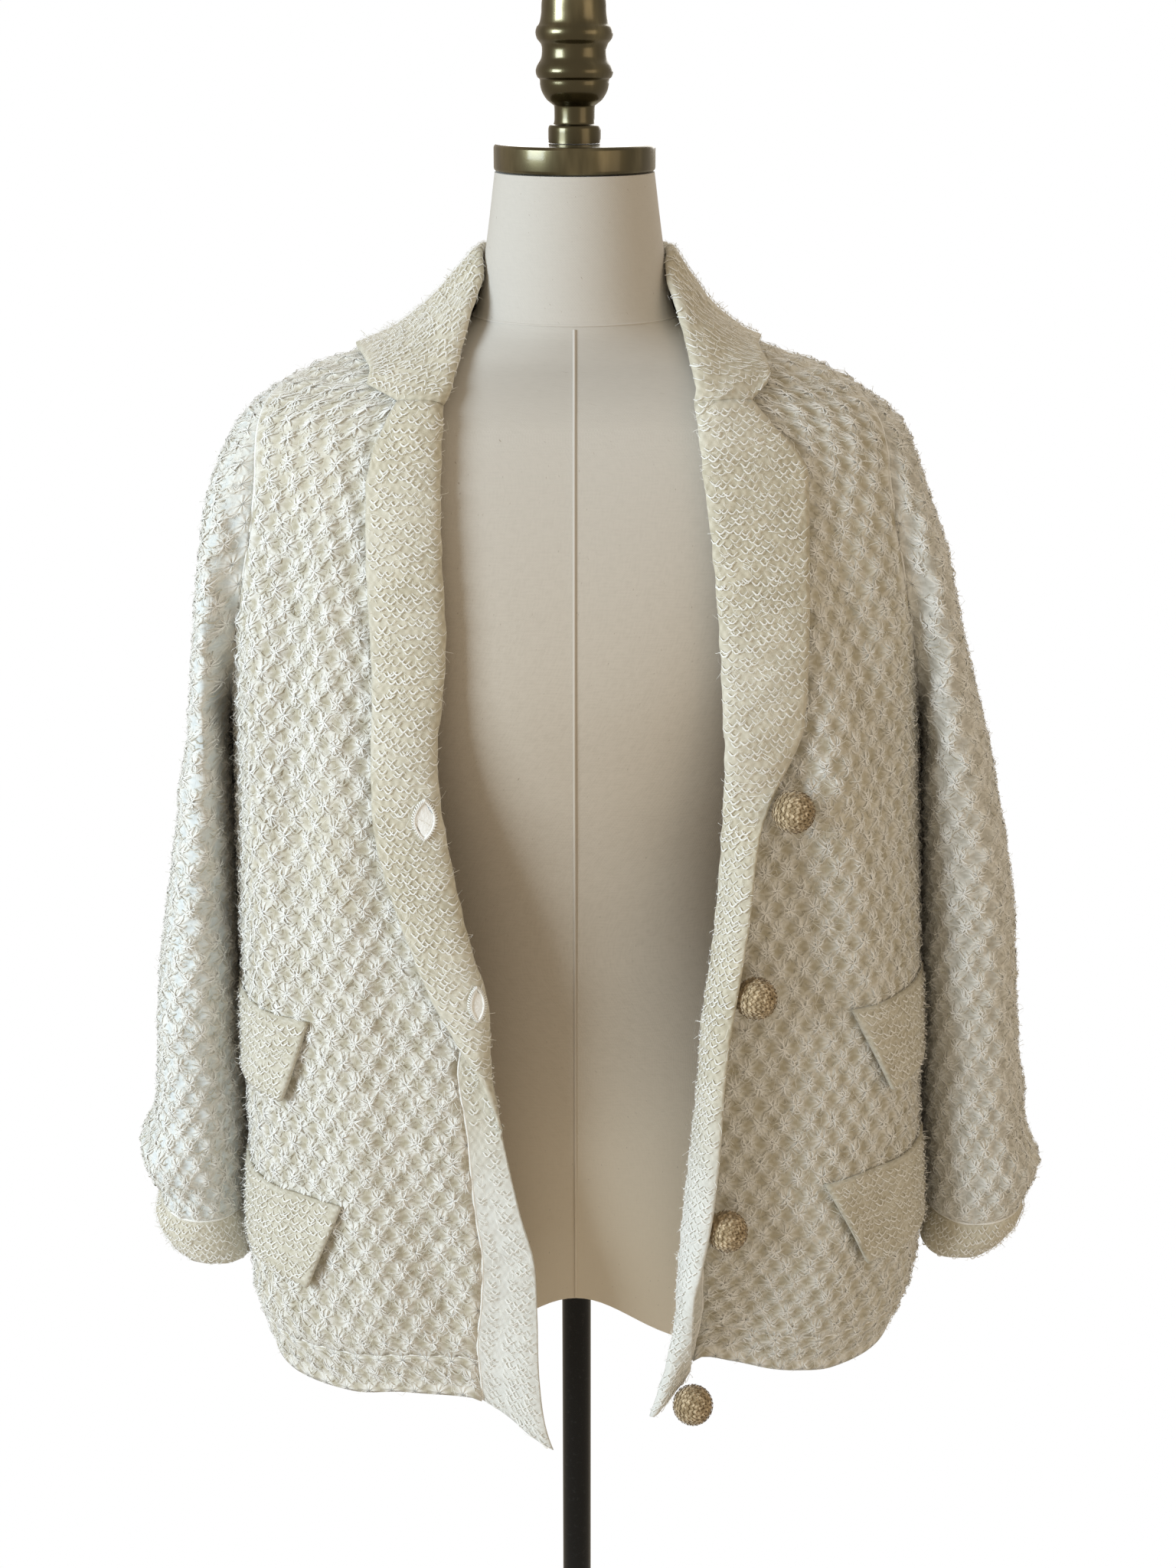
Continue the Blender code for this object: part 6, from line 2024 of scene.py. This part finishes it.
class CardiganKnit(PropertyGroup):
    """The yarn and the loose hairs"""

    yarn: FloatProperty(name="Yarn", description="The width of a strand", default=YARN, min=0.0005, max=0.003,
                        subtype="DISTANCE", unit="LENGTH", precision=5)
    hair_length: FloatProperty(name="Hair length", description="The longest loose hairs", default=0.011,
                               min=0.002, max=0.03, subtype="DISTANCE", unit="LENGTH", precision=4)
    hair_count: IntProperty(name="Hairs", description="Loose hairs on a square metre of cloth", default=21000,
                            min=0, max=60000)
    seed: IntProperty(name="Seed", description="Where the scatter of stitches and hairs starts", default=11,
                      min=0)


def star_threads(word, sheet, number):
    """The yarn and the loose hairs of a piece in star knit."""
    knit = bpy.context.scene.cardigan_knit
    seed = knit.seed + 10 * number
    threads = star_yarn(sheet, seed)
    chains = loop_yarn(sheet, STAR_WIDE / 2, STAR_HIGH, CHAIN_DEEP, seed + 1, CHAIN_UNEVEN, STAR_HIGH * 0.36)
    sewn(f"yarn_{word}", [threads, chains], finish("star_strand"), "star_knit", knit.yarn / YARN)
    loose_hairs(word, [sheet], "star_knit", seed + 2)


# The small knits: how wide, high and deep a loop is, and the finish of its yarn.
KNITS = {
    "plain_knit": (PLAIN_WIDE, PLAIN_HIGH, PLAIN_DEEP, "plain_strand"),
    "garter_knit": (GARTER_WIDE, GARTER_HIGH, GARTER_DEEP, "garter_strand"),
}
HAIRINESS = {"star_knit": 1.0, "plain_knit": 1.4, "garter_knit": 2.4}
LOOP_UNEVEN = 0.30
CHAIN_UNEVEN = 0.16


def plain_threads(word, sheets, number, slot="plain_knit"):
    """The yarn and the loose hairs of a piece in plain or garter knit."""
    knit = bpy.context.scene.cardigan_knit
    seed = knit.seed + 10 * number
    wide, high, deep, strand_name = KNITS[slot]
    parts = [loop_yarn(sheet, wide, high, deep, seed + k, LOOP_UNEVEN) for k, sheet in enumerate(sheets)]
    if word == "band_right":
        parts = clear_of_holes(parts)
    sewn(f"yarn_{word}", parts, finish(strand_name), slot, knit.yarn / YARN)
    loose_hairs(word, sheets, slot, seed + 5)


def loose_hairs(word, sheets, slot, seed):
    """The loose hairs of a piece, more of them where the knit is small."""
    knit = bpy.context.scene.cardigan_knit
    count = knit.hair_count * HAIRINESS[slot]
    parts = [hairs(sheet, count, seed + k, knit.hair_length) for k, sheet in enumerate(sheets)]
    sewn(f"hairs_{word}", parts, finish("loose_hair"), slot)


class KnitPanels(Operator):
    """Knits the fronts and the back in star stitch"""

    bl_idname = "cardigan.knit_panels"
    bl_label = "Fronts and Back"

    def execute(self, context):
        for number, (side, word) in enumerate(SIDES):
            star_threads(f"front_{word}", front_panel(side, finish("star_cloth")), number)
        star_threads("back", back_panel(finish("star_cloth")), 2)
        return {"FINISHED"}


class KnitHem(Operator):
    """Knits the hem band in its three stretches"""

    bl_idname = "cardigan.knit_hem"
    bl_label = "Hem Band"

    def execute(self, context):
        for number, word in enumerate(("left", "right", "back")):
            star_threads(f"hem_{word}", hem_band(word, finish("star_cloth")), 3 + number)
        return {"FINISHED"}


class KnitBands(Operator):
    """Knits the front bands, which turn back into the lapels"""

    bl_idname = "cardigan.knit_bands"
    bl_label = "Bands and Lapels"

    def execute(self, context):
        for number, (side, word) in enumerate(SIDES):
            sheets = band(side, finish("plain_cloth"))
            plain_threads(f"band_{word}", sheets, 6 + number)
            if side == RIGHT:
                buttonholes(sheets[1], finish("bright_cloth"), finish("plain_strand"))
        return {"FINISHED"}


class KnitCollar(Operator):
    """Knits the notched collar"""

    bl_idname = "cardigan.knit_collar"
    bl_label = "Collar"

    def execute(self, context):
        plain_threads("collar", [collar(finish("plain_cloth"))], 8)
        return {"FINISHED"}


class KnitSleeves(Operator):
    """Knits the sleeves and their cuff bands"""

    bl_idname = "cardigan.knit_sleeves"
    bl_label = "Sleeves"

    def execute(self, context):
        for number, (side, word) in enumerate(SIDES):
            long, short = sleeve(side, finish("sleeve_cloth"), finish("plain_cloth"))
            star_threads(f"sleeve_{word}", long, 9 + 2 * number)
            plain_threads(f"cuff_{word}", [short], 10 + 2 * number)
        return {"FINISHED"}


class KnitFlaps(Operator):
    """Knits the four pocket flaps in garter stitch"""

    bl_idname = "cardigan.knit_flaps"
    bl_label = "Pocket Flaps"

    def execute(self, context):
        for number, name in enumerate(FLAPS):
            sheet = flap(name, finish("garter_cloth"))
            plain_threads(name, [sheet], 13 + number, "garter_knit")
        return {"FINISHED"}


class CrochetButtons(Operator):
    """Crochets the four ball buttons"""

    bl_idname = "cardigan.crochet_buttons"
    bl_label = "Buttons"

    def execute(self, context):
        for number in range(1, 5):
            button(f"button_{number}", finish("crochet_ball"))
        return {"FINISHED"}


class CoverForm(Operator):
    """Covers the dress form in linen, with its seams"""

    bl_idname = "cardigan.cover_form"
    bl_label = "Dress Form"

    def execute(self, context):
        form_cover(finish("woven_linen"))
        form_seams(finish("woven_linen"))
        return {"FINISHED"}


class TurnStand(Operator):
    """Turns the cap, the finial, the pole and the base"""

    bl_idname = "cardigan.turn_stand"
    bl_label = "Cap, Finial and Stand"

    def execute(self, context):
        stand(finish("olive_bronze"), finish("gloss_black"))
        return {"FINISHED"}


FLOOR_RADIUS = 0.62

# The lights: name, place, target, size, power and colour.
LIGHTS = (
    ("key", (-2.8, -1.9, 2.1), (0, 0, 1.05), 1.6, 112, (0.76, 0.89, 1.0)),
    ("fill", (2.3, -1.9, 1.7), (0, 0, 1.0), 1.8, 10, (1.0, 0.80, 0.58)),
    ("back", (0.6, 2.6, 2.4), (0, 0, 1.1), 2.2, 36, (0.97, 0.98, 1.0)),
)
ROOM_COLOUR = (1.0, 0.87, 0.69, 1)
ROOM_STRENGTH = 0.45
PAPER_COLOUR = (1.0, 1.0, 1.0, 1)


def light_room(scene):
    """Warm light from all round, and plain white paper where the camera looks past the part."""
    world = bpy.data.worlds.new("studio")
    scene.world = world
    world.use_nodes = True
    links, nodes = world.node_tree.links, world.node_tree.nodes
    room = nodes["Background"]
    room.inputs["Color"].default_value = ROOM_COLOUR
    room.inputs["Strength"].default_value = ROOM_STRENGTH
    paper = nodes.new("ShaderNodeBackground")
    paper.inputs["Color"].default_value = PAPER_COLOUR
    choice = nodes.new("ShaderNodeMixShader")
    links.new(nodes.new("ShaderNodeLightPath").outputs["Is Camera Ray"], choice.inputs[0])
    links.new(room.outputs[0], choice.inputs[1])
    links.new(paper.outputs[0], choice.inputs[2])
    links.new(choice.outputs[0], nodes["World Output"].inputs["Surface"])


def soft_light(name, place, target, size, power, colour):
    """A square soft box at a place, turned to a target."""
    lamp = bpy.data.lights.new(name, "AREA")
    lamp.size = size
    lamp.energy = power
    lamp.color = colour
    made = placed(name, lamp)
    made.location = place
    made.rotation_euler = (Vector(target) - Vector(place)).to_track_quat("-Z", "Y").to_euler()


class SetStage(Operator):
    """Sets the floor, the studio light and the camera"""

    bl_idname = "cardigan.set_stage"
    bl_label = "Stage"

    def execute(self, context):
        bpy.ops.object.select_all(action="DESELECT")
        bpy.ops.mesh.primitive_circle_add(vertices=ROUND_STEPS, radius=FLOOR_RADIUS, fill_type="NGON",
                                          location=(0, 0, 0))
        floor = bpy.context.object
        floor.name = "floor"
        floor.data.materials.append(finish("pale_floor"))
        for light in LIGHTS:
            soft_light(*light)
        light_room(context.scene)
        context.scene.view_settings.view_transform = "Standard"
        lens = bpy.data.cameras.new("photo")
        lens.lens = CAMERA_LENS
        lens.sensor_width = CAMERA_SENSOR
        camera = placed("photo", lens)
        camera.location = (CAMERA_ASIDE, -CAMERA_DISTANCE, CAMERA_HEIGHT)
        camera.rotation_euler = (np.radians(90 - CAMERA_PITCH), 0, 0)
        context.scene.camera = camera
        return {"FINISHED"}


OPERATORS = (KnitPanels, KnitHem, KnitBands, KnitCollar, KnitSleeves, KnitFlaps, CrochetButtons, CoverForm,
             TurnStand, SetStage)


class CardiganPanel(Panel):
    """The cardigan's settings and its steps in the sidebar"""

    bl_idname = "VIEW3D_PT_cardigan"
    bl_label = "Cardigan"
    bl_space_type = "VIEW_3D"
    bl_region_type = "UI"
    bl_category = "Cardigan"

    def draw(self, context):
        for group in (context.scene.cardigan_knit, context.scene.cardigan_colours):
            for name in group.__annotations__:
                self.layout.prop(group, name)
        for operator in OPERATORS:
            self.layout.operator(operator.bl_idname)


CLASSES = (CardiganColours, CardiganKnit, *OPERATORS, CardiganPanel)


def register():
    """Makes the panel, the operators and their settings known."""
    for made in CLASSES:
        bpy.utils.register_class(made)
    bpy.types.Scene.cardigan_colours = PointerProperty(type=CardiganColours)
    bpy.types.Scene.cardigan_knit = PointerProperty(type=CardiganKnit)


def unregister():
    """Takes them out again."""
    del bpy.types.Scene.cardigan_colours
    del bpy.types.Scene.cardigan_knit
    for made in reversed(CLASSES):
        bpy.utils.unregister_class(made)


def plain(bounds):
    """A box as plain lists of numbers."""
    return [[float(v) for v in corner] for corner in bounds]


def main():
    """Dresses the part and sets the stage."""
    register()
    bpy.ops.cardigan.knit_panels()
    bpy.ops.cardigan.knit_hem()
    bpy.ops.cardigan.knit_bands()
    bpy.ops.cardigan.knit_collar()
    bpy.ops.cardigan.knit_sleeves()
    bpy.ops.cardigan.knit_flaps()
    bpy.ops.cardigan.crochet_buttons()
    bpy.ops.cardigan.cover_form()
    bpy.ops.cardigan.turn_stand()
    bpy.ops.cardigan.set_stage()


if __name__ == "__main__":
    main()
